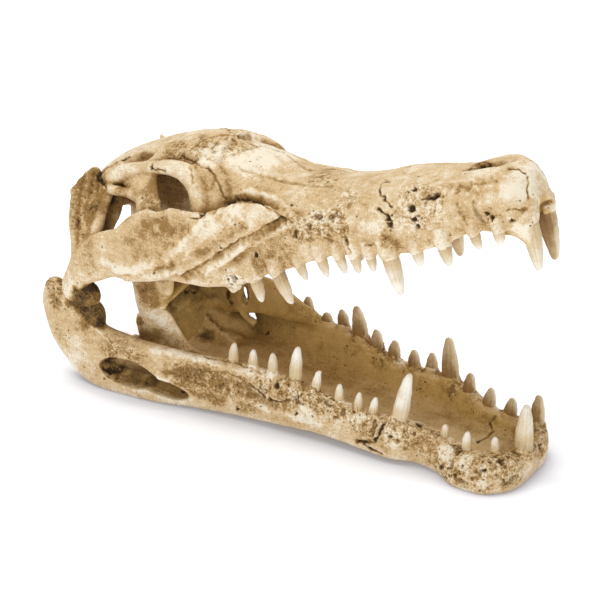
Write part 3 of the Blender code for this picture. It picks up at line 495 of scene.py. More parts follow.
# Lower teeth, right side and then left: X, half width, gum line, lean, length, half width
LOWER_RIGHT_TEETH = [
    (94.6, 34.0, 28.2, 0.7, 10.4, 2.6), (105.9, 32.8, 27.8, 0.5, 9.8, 2.5),
    (117.6, 32.0, 27.4, 0.1, 11.0, 2.6), (129.9, 30.2, 25.6, 1.8, 19.6, 3.3),
    (140.7, 28.4, 23.4, 2.7, 11.0, 2.4), (154.4, 27.5, 19.6, 0.5, 10.6, 2.3),
    (165.5, 27.1, 19.4, 1.0, 9.6, 2.2), (174.4, 27.3, 20.2, 1.7, 8.8, 2.2),
    (188.2, 25.2, 19.6, 5.8, 26.8, 3.9), (211.3, 20.5, 13.4, 0.6, 8.8, 2.2),
    (224.2, 21.2, 12.8, 0.4, 9.6, 2.4), (237.4, 16.6, 13.8, -0.2, 7.6, 2.2),
    (248.0, 8.0, 13.6, 1.0, 25.0, 4.4),
]
LOWER_LEFT_TEETH = [
    (93.8, 34.0, 28.2, 0.0, 9.4, 3.0), (106.4, 33.0, 26.6, 0.0, 5.2, 3.0),
    (117.7, 32.1, 27.6, -1.4, 9.4, 3.1), (129.8, 30.2, 25.2, -3.4, 17.4, 3.9),
    (140.8, 28.5, 23.6, -0.5, 9.8, 3.2), (151.6, 27.8, 21.6, 0.4, 9.2, 3.1),
    (164.3, 27.0, 20.2, -0.3, 9.0, 3.0), (174.6, 27.4, 20.8, 0.0, 9.4, 3.0),
    (187.1, 25.4, 20.0, -2.0, 23.0, 4.3), (199.4, 22.6, 17.6, 1.0, 10.6, 3.2),
    (212.2, 20.3, 13.2, 1.6, 11.8, 3.3), (224.4, 20.4, 12.4, 1.6, 10.4, 3.3),
    (240.6, 18.6, 14.2, 0.8, 15.8, 3.6),
]
TOOTH_ROOT_SHARE = 0.22     # how much of a tooth's length is sunk in the bone
TOOTH_WIDTH, TOOTH_THICKNESS = 1.06, 0.92   # at the root, as shares of the table's half width
TILT_SHARE = 0.75           # how much of a tooth's lean is tilt; the rest is bend
OUTWARD_TILT, INWARD_BEND = 0.03, 0.045     # of every tooth, as shares of its length


def upper_rows():
    return [(side, tooth) for side in (RIGHT, LEFT) for tooth in UPPER_TEETH]


def lower_rows():
    return ([(RIGHT, tooth) for tooth in LOWER_RIGHT_TEETH]
            + [(LEFT, tooth) for tooth in LOWER_LEFT_TEETH])


# ------------------------------------------------------- carved marks, by pixels

# Every mark is named by where it lies. Lines: pixels, half width and depth in
# millimetres, how dark, and whether both sides of the skull have it. A negative depth
# stands out as a ridge.
UPPER_LINES = {
    "seam under the cheek's leaf": ([(283, 219.5), (270, 226), (253, 235), (240, 240), (219, 254),
        (203, 265), (182, 277)], 0.7, 0.8, 0.6, True),
    "hollow along that seam": ([(282, 221), (269, 227.5), (253, 236), (240, 241.5), (220, 255),
        (204, 266), (184, 277.5)], 2.2, 1.8, 0.0, True),
    "groove over the leaf's tip": ([(284, 217), (277, 209), (263, 202.5), (246, 198.5), (229, 201)],
        2, 1.4, 0.0, True),
    "ridge under the leaf": ([(289, 225), (272, 234), (256, 243), (243, 248), (223, 262), (207, 272)],
        1.9, -1.4, 0.0, True),
    "ridge over the leaf": ([(291, 214), (281, 203), (266, 196), (250, 192.5), (236, 193)],
        1.9, -1.2, 0.0, True),
    "shadow line over the leaf": ([(283, 219.5), (276, 211), (264, 205), (253, 200.5), (240, 199),
        (229, 204)], 1.3, 1.2, 0.5, True),
    "seam in front of the eye": ([(183, 157), (199.5, 164.5), (211, 171), (218.5, 184), (226, 198)],
        0.7, 1, 0.55, True),
    "hollow along the eye's seam": ([(183, 158), (199, 166), (210, 172.5), (217, 185), (225, 200)],
        2.2, 0.9, 0.0, True),
    "fine crack in the eye's rim": ([(190.5, 167), (192.5, 176), (193, 184)], 0.6, 0.6, 0.35, True),
    "rear edge of the skull table": ([(128, 157), (120, 160.5), (111.5, 165), (101, 172), (98.5, 178),
        (106, 187)], 1.2, 1.8, 0.9, True),
    "crack over the eye": ([(151, 168.5), (158, 170), (166, 171.5)], 0.6, 1, 0.6, True),
    "ridge across the cheek": ([(238, 210), (222, 214), (206, 222), (193, 233), (178, 249), (161, 258),
        (142, 266), (118, 270)], 3.2, -3, 0.0, True),
    "hollow over the cheek's ridge": ([(150, 228), (168, 228), (184, 232)], 6.5, 2.6, 0.0, True),
    "hollow under the cheek's ridge": ([(240, 228), (218, 243), (195, 257), (172, 268)],
        3.6, 2.2, 0.0, True),
    "lower edge of the cheek": ([(105, 262), (122, 266), (150, 274), (180, 273)], 2.4, -1, 0.0, True),
    "rear plate, first streak": ([(84, 172), (80, 196), (76, 226)], 1.5, 1, 0.35, True),
    "rear plate, second streak": ([(93, 177), (89, 196), (84, 216)], 1.3, 0.9, 0.3, True),
    "rear plate, third streak": ([(99, 180), (96, 194), (90, 210)], 1, 0.8, 0.3, True),
    "rear plate, fourth streak": ([(73, 206), (77, 224), (77, 240)], 1.4, 0.9, 0.3, True),
    "snout's crack, upper part": ([(390, 181), (384, 182), (380.5, 186), (380.5, 193), (386, 200),
        (391.5, 207)], 0.55, 1.5, 0.95, False),
    "snout's crack, lower part": ([(378, 209), (385, 214), (390, 219), (391.5, 227)],
        0.7, 1.4, 0.95, False),
    "slit beside the snout's pits": ([(423, 199), (430, 196.5), (438, 195)], 1.1, 1.3, 0.85, False),
    "slit on the snout's top": ([(408, 167), (414, 165), (420, 163)], 0.8, 1.2, 0.8, False),
    "crack behind the nostril's front": ([(510, 169), (520, 170), (526, 175), (528, 182), (527, 189),
        (529, 198)], 0.7, 1.3, 0.85, True),
    "upper fold beside the nostril": ([(450, 184), (465, 184.5), (480, 183.5), (497, 181)],
        1.7, 1.1, 0.1, True),
    "lower fold beside the nostril": ([(459, 189), (470, 190.5), (482, 191), (494, 189)],
        1.6, 1.1, 0.12, True),
    "crease over the near fang": ([(507, 210), (516, 209), (526, 209.5)], 0.7, 0.8, 0.3, True),
    "notch between the fangs": ([(541, 214), (541, 206), (551, 201)], 1.2, 1.3, 0.6, False),
    "short crack over the large tooth": ([(364, 246), (375, 245)], 0.5, 0.7, 0.9, False),
    "crack between two sockets": ([(345, 237), (347, 246), (349, 254)], 0.8, 1.4, 1, False),
    "dent behind the tip's pits": ([(472, 203), (476, 212), (482, 222)], 1.8, 0.9, 0.45, True),
    "dent further behind": ([(458, 206), (462, 216), (466, 224)], 1.6, 0.7, 0.3, True),
    "line on the roof": ([(190, 150), (205, 140), (222, 135), (240, 136)], 1, 0.6, 0.35, True),
    "line in front of the roof": ([(245, 150), (262, 146), (283, 152)], 0.9, 0.7, 0.45, False),
    "groove on the strut": ([(166, 298), (171, 305), (176, 315)], 2.6, 1, 0.35, False),
    "ridge on the strut": ([(176, 314), (180, 306), (188, 301)], 2.4, -1.3, 0.0, False),
    # Its dark is painted shade in the hollow of the plate
    "groove in the mouth's plate": ([(228, 289), (231, 298), (235, 309)], 3.2, 1.6, 0.9, False),
    "ridge in the mouth's plate": ([(190, 310), (200, 303), (214, 302), (226, 306)], 2, -1, 0.0, False),
    "groove at the plate's top": ([(198, 288), (207, 294), (216, 296)], 2.4, 0.9, 0.5, False),
    "long line down to the snout": ([(240, 168), (270, 178), (300, 184), (330, 186)],
        1.6, 0.6, 0.3, True),
}
LOWER_LINES = {
    "crack under the rear teeth": ([(248, 384), (256, 390), (266, 399), (276.5, 402.7), (285, 401),
        (296, 399.5), (301, 393.5), (302.5, 390)], 0.6, 1.3, 1, False),
    "crack behind the large tooth": ([(386, 422), (380, 430), (375.5, 440), (366, 443), (357, 441)],
        0.9, 1.9, 1, False),
    "its branch along the edge": ([(357, 441), (368, 448), (380, 454)], 1.1, 1.5, 0.9, False),
    "crack in the basin's front": ([(494, 417), (490, 423), (492, 431), (486, 437), (477, 442)],
        0.7, 1.3, 0.9, False),
    "short crack at the front": ([(463, 451), (456, 454)], 0.5, 0.9, 0.9, False),
    "crack under the front teeth": ([(473, 464), (467, 468), (464, 473)], 0.6, 1.1, 1, False),
    "crack at the side of the tip": ([(543, 441), (540, 447), (543, 453), (539, 460)],
        0.9, 1.6, 0.9, False),
    "ridge below the jaw joint": ([(87, 324), (97, 330), (108, 340), (116, 348)], 0.8, -0.9, 0.0, True),
    "ridge along the ramus": ([(116, 345), (140, 350), (165, 351), (200, 360), (240, 371)],
        2.2, -1.4, 0.0, True),
    "lower edge of the ramus": ([(160, 378), (195, 388), (235, 398), (275, 411), (320, 424)],
        2.2, -1.3, 0.0, True),
    "hollow between those ridges": ([(168, 372), (195, 372), (225, 380), (250, 391), (270, 404)],
        4, 1.5, 0.35, True),
    "line under the rear teeth": ([(205, 357), (232, 362), (262, 373)], 0.7, 0.9, 0.5, False),
    "line in the hollow": ([(200, 372), (228, 374), (250, 385)], 0.7, 0.6, 0.4, False),
    "groove inside the far side": ([(190, 290), (205, 310), (222, 330)], 1.6, 0.8, 0.4, False),
    "ridge inside the far side": ([(203, 315), (213, 324), (224, 334), (234, 343)],
        1.7, -1.2, 0.0, False),
    "long line on the far side": ([(330, 310), (350, 326), (372, 345), (396, 362)],
        1.5, 0.7, 0.35, False),
}
# Pits: pixel, radius and depth in millimetres, how dark
UPPER_PITS = {
    "snout's side": [((415, 189.5), 1, 1.2, 0.9), ((435.5, 196), 1.9, 1.7, 0.8),
        ((411.5, 207.5), 2.1, 2.2, 1), ((414.5, 220), 1.4, 1.8, 1), ((417, 226), 1.2, 1.3, 0.9)],
    "beside the nostril": [((465, 172.5), 1, 1.2, 0.9)],
    "snout's tip": [((487, 213.5), 0.9, 1.2, 1), ((492, 217.5), 1.3, 1.4, 1)],
    "under the cheek": [((256.5, 255.5), 0.8, 1, 1)],
    "over the eye": [((151, 168.5), 1.2, 1.5, 1)],
    "under the eye": [((202, 214), 1.6, 1.6, 0.8)],
    "beside the leaf": [((292, 205), 0.9, 0.8, 0.8)],
    "along the snout's crack": [((388, 219), 1.2, 1.5, 1), ((390, 226), 1.1, 1.3, 0.9)],
    "snout's top": [((470, 169), 1, 0.8, 0.7)],
    "behind the eye": [((142, 198), 0.9, 0.8, 0.7)],
    "cheek": [((155, 273), 0.7, 0.7, 0.7), ((220, 249), 0.6, 0.7, 0.8)],
    "over the large tooth": [((397, 259), 1, 1, 0.9)],
    "broken stub": [((228, 280), 0.8, 1.3, 0.9), ((236, 279), 0.9, 1.5, 0.9),
        ((231, 285), 0.7, 1.1, 0.8)],
    "over the fang": [((512, 221), 0.9, 1, 0.8)],
    "mouth's plate": [((187, 292), 1.1, 1, 0.9), ((195, 292), 1, 0.9, 0.8)],
    "roof": [((178, 132.5), 1.4, 1.3, 0.8)],
}
LOWER_PITS = {
    "under the rear teeth": [((276.5, 387), 1.8, 1.8, 0.9)],
    "behind the large tooth": [((419, 424), 2.2, 2.2, 1), ((404, 416), 1, 1, 0.7)],
    "end of the window": [((185, 391), 1.4, 0.9, 0.6)],
    "lower edge": [((237, 409), 1, 1.1, 0.9), ((296, 414), 0.8, 1, 0.9), ((390, 437), 1.2, 1.1, 0.8)],
    "front": [((440, 468), 1.4, 1.2, 0.8), ((455, 475), 1.2, 1.1, 0.8), ((485, 470), 1.3, 1.1, 0.8),
        ((500, 460), 1.2, 1.1, 0.7)],
    "inside the window": [((120, 366), 3, 1.4, 0.7), ((109, 371), 2, 1.2, 0.7)],
}
# Grit and painted shade: pixel, radius in millimetres, how rough and how brown; below 0 it is paler
UPPER_GRIT_AND_SHADE = {
    "rear plate": [((88, 195), 15, 0.15, 0.75), ((80, 215), 11, 0.2, 0.5)],
    # Painted shade in the cavity behind the rear window
    "rear window": [((112, 207), 8, 0.1, 0.3)],
    "eye socket": [((172, 188), 13, 0.1, 0.4)],
    # Painted shade in the recess under the table's lobe
    "top of the rear window": [((120, 197), 8, 0.1, 0.7)],
    "hollow of the skull table": [((145, 158), 5, 0.2, 0.4)],
    "roof": [((175, 152), 10, 0.55, 0.45), ((205, 147), 12, 0.6, 0.3), ((235, 148), 10, 0.5, 0.15)],
    "pale side of the roof": [((215, 158), 12, 0.1, -0.45), ((255, 160), 14, 0.1, -0.4)],
    "porous bone over the cheek teeth": [((300, 229), 9, 0.9, 0.65), ((318, 224), 9, 0.9, 0.65),
        ((336, 222), 8, 0.8, 0.6)],
    "porous bone on the snout": [((415, 205), 14, 0.55, 0.35), ((432, 200), 10, 0.6, 0.4)],
    "broken stub": [((234, 284), 7, 0.7, -0.3)],
    "snout's side": [((345, 200), 8, 0.5, 0.35)],
    "rim of the nostril": [((482, 168), 6, 0.8, 0.7)],
    "root of the snout": [((322, 178), 12, 0.35, 0.3)],
    "bar behind the eye": [((150, 205), 9, 0.4, 0.3)],
    "over the large tooth": [((390, 240), 6, 0.3, 0.5)],
    # Painted shade deep in the jaw joint, from the three darker patches; the first patch is paler
    "jaw joint": [((74, 290), 8, 0.2, -0.3), ((84, 299), 8, 0.2, 1.6), ((92, 292), 8, 0.15, 1.6),
        ((80, 303), 7, 0.2, 1.3)],
    "strut": [((150, 297), 10, 0.2, 0.85)],
    # Painted shade on the plate behind the mouth
    "mouth's plate": [((195, 300), 18, 0.0, 0.9), ((225, 300), 16, 0.0, 0.9)],
    "shaft": [((83, 242), 10, 0.1, 0.4)],
    "rear lobe of the skull table": [((120, 175), 9, 0.1, -0.3)],
    "under the brow": [((215, 185), 14, 0.0, 0.35)],
    "cheek": [((150, 238), 18, 0.05, 0.45)],
    "length of the snout": [((320, 205), 24, 0.1, 0.1), ((420, 215), 20, 0.1, 0.05),
        ((480, 210), 14, 0.0, 0.2)],
    "tip of the snout": [((520, 185), 9, 0.0, -0.3), ((521, 231), 5, 0.0, -0.5)],
    "top of the snout": [((420, 175), 12, 0.0, 0.1)],
    "ridge of the cheek": [((210, 232), 8, 0.0, -0.3), ((245, 215), 10, 0.0, -0.15)],
    "middle of the snout": [((365, 225), 12, 0.1, 0.0)],
    "lower cheek": [((160, 255), 9, 0.0, -0.2)],
    "tooth line under the cheek": [((275, 255), 16, 0.1, 0.25)],
    # Painted shade in the pit at the rim of the rear window
    "rim of the rear window": [((155, 188), 9, 0.0, 0.45)],
    "foot of the shaft": [((88, 264), 8, 0.2, 0.25)],
    # Painted shade under the table's lobe
    "lower rim of the rear window": [((120, 192), 5, 0.1, 0.5)],
}
LOWER_GRIT_AND_SHADE = {
    # The first two patches are paler, to take back painted shade that the hollow value lays on the leaf
    "leaf at the strut": [((148, 322), 10, 0.1, -0.4), ((165, 332), 9, 0.1, -0.25),
        ((139, 322), 3, 0.4, 0.5)],
    "rear end": [((57, 284), 9, 0.6, 0.5)],
    # Painted shade deep in the jaw joint
    "jaw joint": [((80, 305), 9, 0.3, 1.3), ((96, 313), 9, 0.15, 2.6), ((88, 318), 6, 0.2, 1.1)],
    "behind the window": [((115, 350), 8, 0.5, 0.4), ((130, 355), 7, 0.5, 0.35)],
    "rear of the window": [((118, 366), 7, 0.9, 0.8)],
    "hollow of the side": [((190, 378), 12, 0.5, 0.5), ((215, 386), 11, 0.45, 0.45),
        ((245, 396), 10, 0.4, 0.4)],
    "porous bone under the teeth": [((290, 390), 12, 0.8, 0.35), ((320, 398), 11, 0.9, 0.45),
        ((345, 408), 10, 0.7, 0.35), ((372, 425), 11, 0.75, 0.35), ((400, 430), 12, 0.75, 0.35),
        ((425, 440), 11, 0.5, 0.3)],
    "porous front": [((450, 462), 13, 0.75, 0.3), ((475, 470), 13, 0.75, 0.3),
        ((505, 462), 13, 0.75, 0.3), ((530, 445), 9, 0.6, 0.4)],
    "top of the ramus": [((130, 345), 20, 0.0, 0.35)],
    "rear corner": [((68, 328), 16, 0.1, 0.1), ((74, 352), 12, 0.05, -0.3), ((54, 298), 6, 0.4, 0.5)],
    "window": [((152, 382), 5, 0.1, 0.8), ((136, 377), 5, 0.1, 0.5)],
    # Painted shade in the hollow at the foot of the far leaf
    "foot of the far leaf": [((208, 337), 6, 0.1, 1.1)],
    "far side": [((300, 315), 12, 0.1, 0.4)],
    "front of the joint": [((74, 289), 6, 0.3, -0.2)],
    "pale flecks": [((293, 395), 5, 0.6, -0.5), ((345, 402), 5, 0.7, -0.5),
        ((358, 418), 4.5, 0.7, -0.6), ((395, 440), 6, 0.5, -0.5), ((445, 452), 5, 0.6, -0.6),
        ((465, 462), 5, 0.7, -0.7), ((305, 415), 6, 0.4, -0.4), ((485, 480), 5, 0.8, -0.5)],
    "lower edge": [((325, 425), 10, 0.1, -0.15)],
    "rims of the rear sockets": [((270, 372), 6, 0.4, -0.4), ((250, 372), 5, 0.3, -0.4)],
    "front corner": [((510, 475), 8, 0.7, 0.2)],
    "under the rear teeth": [((262, 385), 7, 0.6, 0.2)],
}


# ------------------------------------------------------------ meshes and numbers

def new_object(name, data):
    item = bpy.data.objects.new(name, data)
    bpy.context.scene.collection.objects.link(item)
    return item


def mesh_object(name, form):
    mesh = bpy.data.meshes.new(name)
    form.to_mesh(mesh)
    form.free()
    return new_object(name, mesh)


def settled(item):
    """Applies an object's modifiers to its mesh."""
    graph = bpy.context.evaluated_depsgraph_get()
    mesh = bpy.data.meshes.new_from_object(item.evaluated_get(graph))
    item.modifiers.clear()
    item.data = mesh
    return item


def soften(item, rounds):
    modifier = item.modifiers.new("Soften", "SMOOTH")
    modifier.factor = 0.5
    modifier.iterations = rounds


def melt(item, voxel, rounds):
    """Melts crossing shapes into one skin and softens it."""
    remesh = item.modifiers.new("Melt", "REMESH")
    remesh.mode = "VOXEL"
    remesh.voxel_size = voxel
    soften(item, rounds)
    return settled(item)


def subtract(item, cutter):
    modifier = item.modifiers.new("Cut", "BOOLEAN")
    modifier.operation = "DIFFERENCE"
    modifier.solver = "EXACT"
    modifier.use_self = True
    modifier.object = cutter
    settled(item)
    bpy.data.objects.remove(cutter)


def join_form(item, form):
    """Adds a form's shapes to an object's mesh, to be melted together next."""
    form.from_mesh(item.data)
    form.to_mesh(item.data)
    form.free()


def rows_of(items, key, width, kind):
    """A value of all vertices or edges as rows of numbers."""
    flat = np.empty(len(items) * width, kind)
    items.foreach_get(key, flat)
    return flat.reshape(-1, width)


def points_of(mesh):
    return rows_of(mesh.vertices, "co", 3, np.float32).astype(float)


def normals_of(mesh):
    return rows_of(mesh.vertex_normals, "vector", 3, np.float32).astype(float)


def set_points(mesh, points):
    mesh.vertices.foreach_set("co", points.astype(np.float32).ravel())
    mesh.update()


def surface_tree(mesh):
    return BVHTree.FromPolygons([Vector(point) for point in points_of(mesh)],
                                [tuple(polygon.vertices) for polygon in mesh.polygons])


def spread(mesh, values, rounds):
    """Evens out a value over the surface, from neighbour to neighbour."""
    a, b = rows_of(mesh.edges, "vertices", 2, np.int32).T
    count = len(values)
    near = np.bincount(a, minlength=count) + np.bincount(b, minlength=count)
    for _ in range(rounds):
        total = np.bincount(a, values[b], count) + np.bincount(b, values[a], count)
        values = 0.5 * values + 0.5 * total / np.maximum(near, 1)
    return values


def paint(mesh, name, values):
    attribute = mesh.attributes.new(name, "FLOAT", "POINT")
    attribute.data.foreach_set("value", np.clip(values, 0.0, 1.0).astype(np.float32))


def ramp(values, low, high):
    """0 below low and 1 above high, smooth between."""
    t = np.clip((values - low) / (high - low), 0.0, 1.0)
    return t * t * (3 - 2 * t)


def lattice(cells, seed):
    """Repeatable random number for each lattice cell, from 0 to 1."""
    x, y, z = (cells[:, i].astype(np.int64) for i in range(3))
    mixed = (x * 73856093) ^ (y * 19349663) ^ (z * 83492791) ^ (seed * 2654435761)
    mixed = (mixed ^ (mixed >> 13)) * 1274126177
    return ((mixed ^ (mixed >> 16)) & 0xFFFF) / 65535.0


def noise(points, size, seed):
    """Smooth noise from -1 to 1; size is the width of its lumps in millimetres."""
    scaled = points / size
    base = np.floor(scaled)
    part = scaled - base
    part = part * part * (3 - 2 * part)
    result = np.zeros(len(points))
    for corner in np.ndindex(2, 2, 2):
        weight = np.prod(np.where(np.array(corner) == 1, part, 1 - part), axis=1)
        result += weight * lattice(base + corner, seed)
    return 2 * result - 1


# ------------------------------------------------------------------- carving

STRAY = 0.7                 # how far a carved line strays, in millimetres
LONGEST_STEP = 20.0         # between a trail's points; where it jumps further, it is broken


class Carver:
    """Moves a jaw's surface in and out, and notes how dark and gritty it gets."""

    def __init__(self, item):
        self.mesh = item.data
        self.points = points_of(self.mesh)
        self.normals = normals_of(self.mesh)
        self.height, self.crack, self.stain, self.grit = np.zeros((4, len(self.points)))
        self.tree = surface_tree(self.mesh)

    def hit(self, pixel):
        """Point and normal where the photograph's ray first meets the surface."""
        start, way = camera_ray(pixel)
        place, normal, _, _ = self.tree.ray_cast(start, way)
        return place, normal

    def trail(self, pixels):
        """Points on the surface along a line of pixels."""
        fine = smooth_rows(pixels, 6) if len(pixels) > 2 else np.linspace(*pixels, 8)
        found = [self.hit(pixel) for pixel in fine]
        return [(place, normal) for place, normal in found if place is not None]

    def mirrored(self, trail):
        """The same points on the other side, moved onto its surface."""
        result = []
        for place, _ in trail:
            near, normal, _, _ = self.tree.find_nearest(Vector((place.x, -place.y, place.z)))
            if near is not None:
                result.append((near, normal))
        return result

    def near(self, centre, reach):
        return np.nonzero(np.abs(self.points - centre).max(axis=1) < reach)[0]

    def line(self, trail, half_width, depth, dark):
        """Carves a groove along a trail, or raises a ridge where depth is negative."""
        reach = 2.6 * half_width + 1.0
        places = np.array([place for place, _ in trail])
        away = np.array([normal for _, normal in trail])
        low, high = places.min(0) - reach, places.max(0) + reach
        index = np.nonzero(np.all((self.points > low) & (self.points < high), axis=1))[0]
        here = self.points[index]
        here = here + STRAY * np.stack([noise(here, 1.9, seed=5 + k) for k in range(3)], 1)
        best = np.full(len(index), 1e9)
        facing = np.zeros(len(index))
        for start, end, normal in zip(places, places[1:], away):
            along = end - start
            square = along @ along
            if not 1e-6 <= square <= LONGEST_STEP ** 2:
                continue
            t = np.clip((here - start) @ along / square, 0, 1)
            distance = np.linalg.norm(here - (start + t[:, None] * along), axis=1)
            closer = distance < best
            best[closer] = distance[closer]
            facing[closer] = (self.normals[index] @ normal)[closer]
        waver = 1 + 0.6 * noise(here, 2.0, seed=8) if dark else 1.0
        share = np.exp(-(best / (half_width * waver)) ** 2) * ramp(facing, -0.2, 0.3)
        self.height[index] -= depth * share * (0.75 + 0.35 * noise(here, 4.3, seed=12))
        broken = ramp(noise(here, 2.2, seed=10), -0.55, 0.3) if dark else 1.0
        self.crack[index] = np.maximum(self.crack[index], dark * share ** 1.5 * broken)
        self.stain[index] += share * (0.25 if depth > 0 else -0.2)

    def pit(self, place, normal, radius, depth, dark):
        index = self.near(np.array(place), 3 * radius + 1)
        here = self.points[index]
        gap = np.linalg.norm(here - np.array(place), axis=1)
        gap *= 1 + 0.8 * noise(here, 1.1 * radius, seed=9)
        share = np.exp(-(gap / radius) ** 3) * ramp(self.normals[index] @ np.array(normal), -0.2, 0.2)
        self.height[index] -= depth * share
        self.crack[index] = np.maximum(self.crack[index], dark * share)

    def patch(self, place, radius, rough, brown):
        """Gritty patch, browner or paler; in some recesses and joints its brown is painted shade."""
        index = self.near(np.array(place), 1.6 * radius)
        here = self.points[index]
        gap = np.linalg.norm(here - np.array(place), axis=1)
        gap *= 1 + 0.35 * noise(here, 0.4 * radius, seed=3)
        share = 1 - ramp(gap, 0.45 * radius, 1.15 * radius)
        self.grit[index] = np.maximum(self.grit[index], rough * share)
        self.stain[index] += (brown - self.stain[index] * (brown > 0)) * share

    def carve_marks(self, lines, pits, patches):
        """Carves lines, then pits, then patches, each table in the order it is written."""
        for pixels, half_width, depth, dark, both in lines.values():
            trail = self.trail(pixels)
            for path in [trail, self.mirrored(trail)] if both else [trail]:
                if len(path) > 1:
                    self.line(path, half_width, depth, dark)
        for pixel, radius, depth, dark in sum(pits.values(), []):
            for place, normal in self.both(pixel):
                self.pit(place, normal, radius, depth, dark)
        for pixel, radius, rough, brown in sum(patches.values(), []):
            for place, _ in self.both(pixel):
                self.patch(place, radius, rough, brown)

    def both(self, pixel):
        place, normal = self.hit(pixel)
        if place is None:
            return []
        return [(place, normal)] + self.mirrored([(place, normal)])

    def settle(self):
        """Applies the carved heights along the normals."""
        set_points(self.mesh, self.points + self.normals * self.height[:, None])


def skin_grain(carver):
    """Slight unevenness of the cast everywhere, and lumps where it is gritty."""
    points = carver.points
    carver.height += 0.22 * noise(points, 9.0, seed=1) + 0.12 * noise(points, 4.0, seed=2)
    lumps = 0.55 * noise(points, 2.3, seed=4) + 0.35 * noise(points, 1.2, seed=6)
    holes = ramp(noise(points, 2.6, seed=7), 0.25, 0.6)
    carver.height += carver.grit * (lumps - 0.9 * holes)
    carver.crack = np.maximum(carver.crack, 0.55 * carver.grit * holes)


def shelter(mesh, reach=26.0, samples=9000, rays=40):
    """How hidden each point is, from 0 in the open to 1 deep in a hollow; laid on as wash and painted
    shade.
    """
    points, normals, tree = points_of(mesh), normals_of(mesh), surface_tree(mesh)
    random = np.random.default_rng(11)
    ways = random.normal(size=(rays, 3))
    ways /= np.linalg.norm(ways, axis=1)[:, None]
    chosen = random.choice(len(points), min(samples, len(points)), replace=False)
    finder = KDTree(len(chosen))
    hidden = np.zeros(len(chosen))
    for row, index in enumerate(chosen):
        normal = normals[index]
        start = Vector(points[index] + 0.4 * normal)
        toward = ways @ normal
        for way, lift in zip(ways, toward):
            if lift < 0:
                way = way - 2 * lift * normal
            _, _, _, distance = tree.ray_cast(start, Vector(way), reach)
            if distance is not None:
                hidden[row] += abs(lift) * (1 - 0.5 * distance / reach)
        hidden[row] /= np.abs(toward).sum()
        finder.insert(Vector(points[index]), row)
    finder.balance()
    values = np.empty(len(points))
    for i, point in enumerate(points):
        near = finder.find_n(Vector(point), 3)
        values[i] = sum(hidden[row] for _, row, _ in near) / 3
    return spread(mesh, values, rounds=6)


def bulge(item, rounds, scale):
    """How far the surface stands out of its own softened shape, along the normal."""
    copy = new_object("softened", item.data.copy())
    soften(copy, rounds)
    settled(copy)
    away = points_of(item.data) - points_of(copy.data)
    bpy.data.objects.remove(copy)
    return (away * normals_of(item.data)).sum(axis=1) / scale


def thin_out(item):
    """Brings the mesh under the most triangles, keeping its creases."""
    count = sum(len(polygon.vertices) - 2 for polygon in item.data.polygons)
    if count > MOST_TRIANGLES:
        thin = item.modifiers.new("Thin", "DECIMATE")
        thin.ratio = MOST_TRIANGLES / count
        thin.use_collapse_triangulate = True
        settled(item)


def finish_jaw(item, carver, inside):
    """Thins a carved jaw out and writes the values that its material reads."""
    # The stain value holds discolouring and the painted shade of some patches
    for name, values in (("crack", carver.crack), ("grit", carver.grit),
                         ("stain", 0.5 + 0.4 * carver.stain)):
        paint(item.data, name, values)
    thin_out(item)
    mesh = item.data
    points = points_of(mesh)
    # Brown wash and painted shade: how hidden each point is
    paint(mesh, "hollow", shelter(mesh))
    fine, broad = bulge(item, rounds=6, scale=0.22), bulge(item, rounds=40, scale=0.9)
    paint(mesh, "edge", 0.5 + 0.3 * fine + 0.25 * broad)
    paint(mesh, "inside", inside(points, normals_of(mesh)))
    mesh.transform(Matrix.Scale(MM, 4))
    mesh.shade_smooth()


# ------------------------------------------------------------ the two jaws

def upper_to_ground():
    """Lifts the upper skull by the gape, about the line of the jaw joints."""
    return (Matrix.Translation((JOINT_X, 0.0, JOINT_Z))
            @ Matrix.Rotation(math.radians(-GAPE), 4, "Y"))


def carved_jaw(name, form, openings, late, matrix, marks, inside):
    """Melts, opens, lays on the late bars, melts finely, carves and paints one jaw."""
    jaw = melt(mesh_object(name, form), COARSE_VOXEL, rounds=2)
    subtract(jaw, mesh_object("openings", openings))
    join_form(jaw, late)
    melt(jaw, FINE_VOXEL, int(round(SOFTENING_ROUNDS * (FULL_VOXEL / FINE_VOXEL) ** 2)))
    jaw.data.transform(matrix)
    carver = Carver(jaw)
    carver.carve_marks(*marks)
    skin_grain(carver)
    carver.settle()
    finish_jaw(jaw, carver, inside)
    return jaw


# Bounds of the olive inner faces, in each jaw's own layout: half width, top and front
# of the throat; then the front of the lower jaw's leaves, whose outer faces stay pale
THROAT_HALF_WIDTH, THROAT_TOP, THROAT_FRONT = 27.5, 2.0, 110.0
LEAF_FRONT = 84.0


def inside_upper(points, normals):
    """Palate, throat and the inner faces behind the tooth rows."""
    turn = np.array(upper_to_ground().inverted())
    local = points @ turn[:3, :3].T + turn[:3, 3]
    local_normals = normals @ turn[:3, :3].T
    rows = np.array(SNOUT_SECTIONS)
    half = np.interp(local[:, 0], rows[:, 0], rows[:, 1])
    gum = np.interp(local[:, 0], rows[:, 0], rows[:, 7])
    medial = ramp(half - 1.5 - np.abs(local[:, 1]), 0.0, 3.0)
    palate = medial * ramp(-local_normals[:, 2], -0.1, 0.5) * ramp(gum + 12 - local[:, 2], 0.0, 4.0)
    throat = (ramp(THROAT_HALF_WIDTH - np.abs(local[:, 1]), 0.0, 2.0)
              * ramp(THROAT_TOP - local[:, 2], 0.0, 4.0) * ramp(THROAT_FRONT - local[:, 0], 0.0, 8.0))
    return np.maximum(palate, throat)


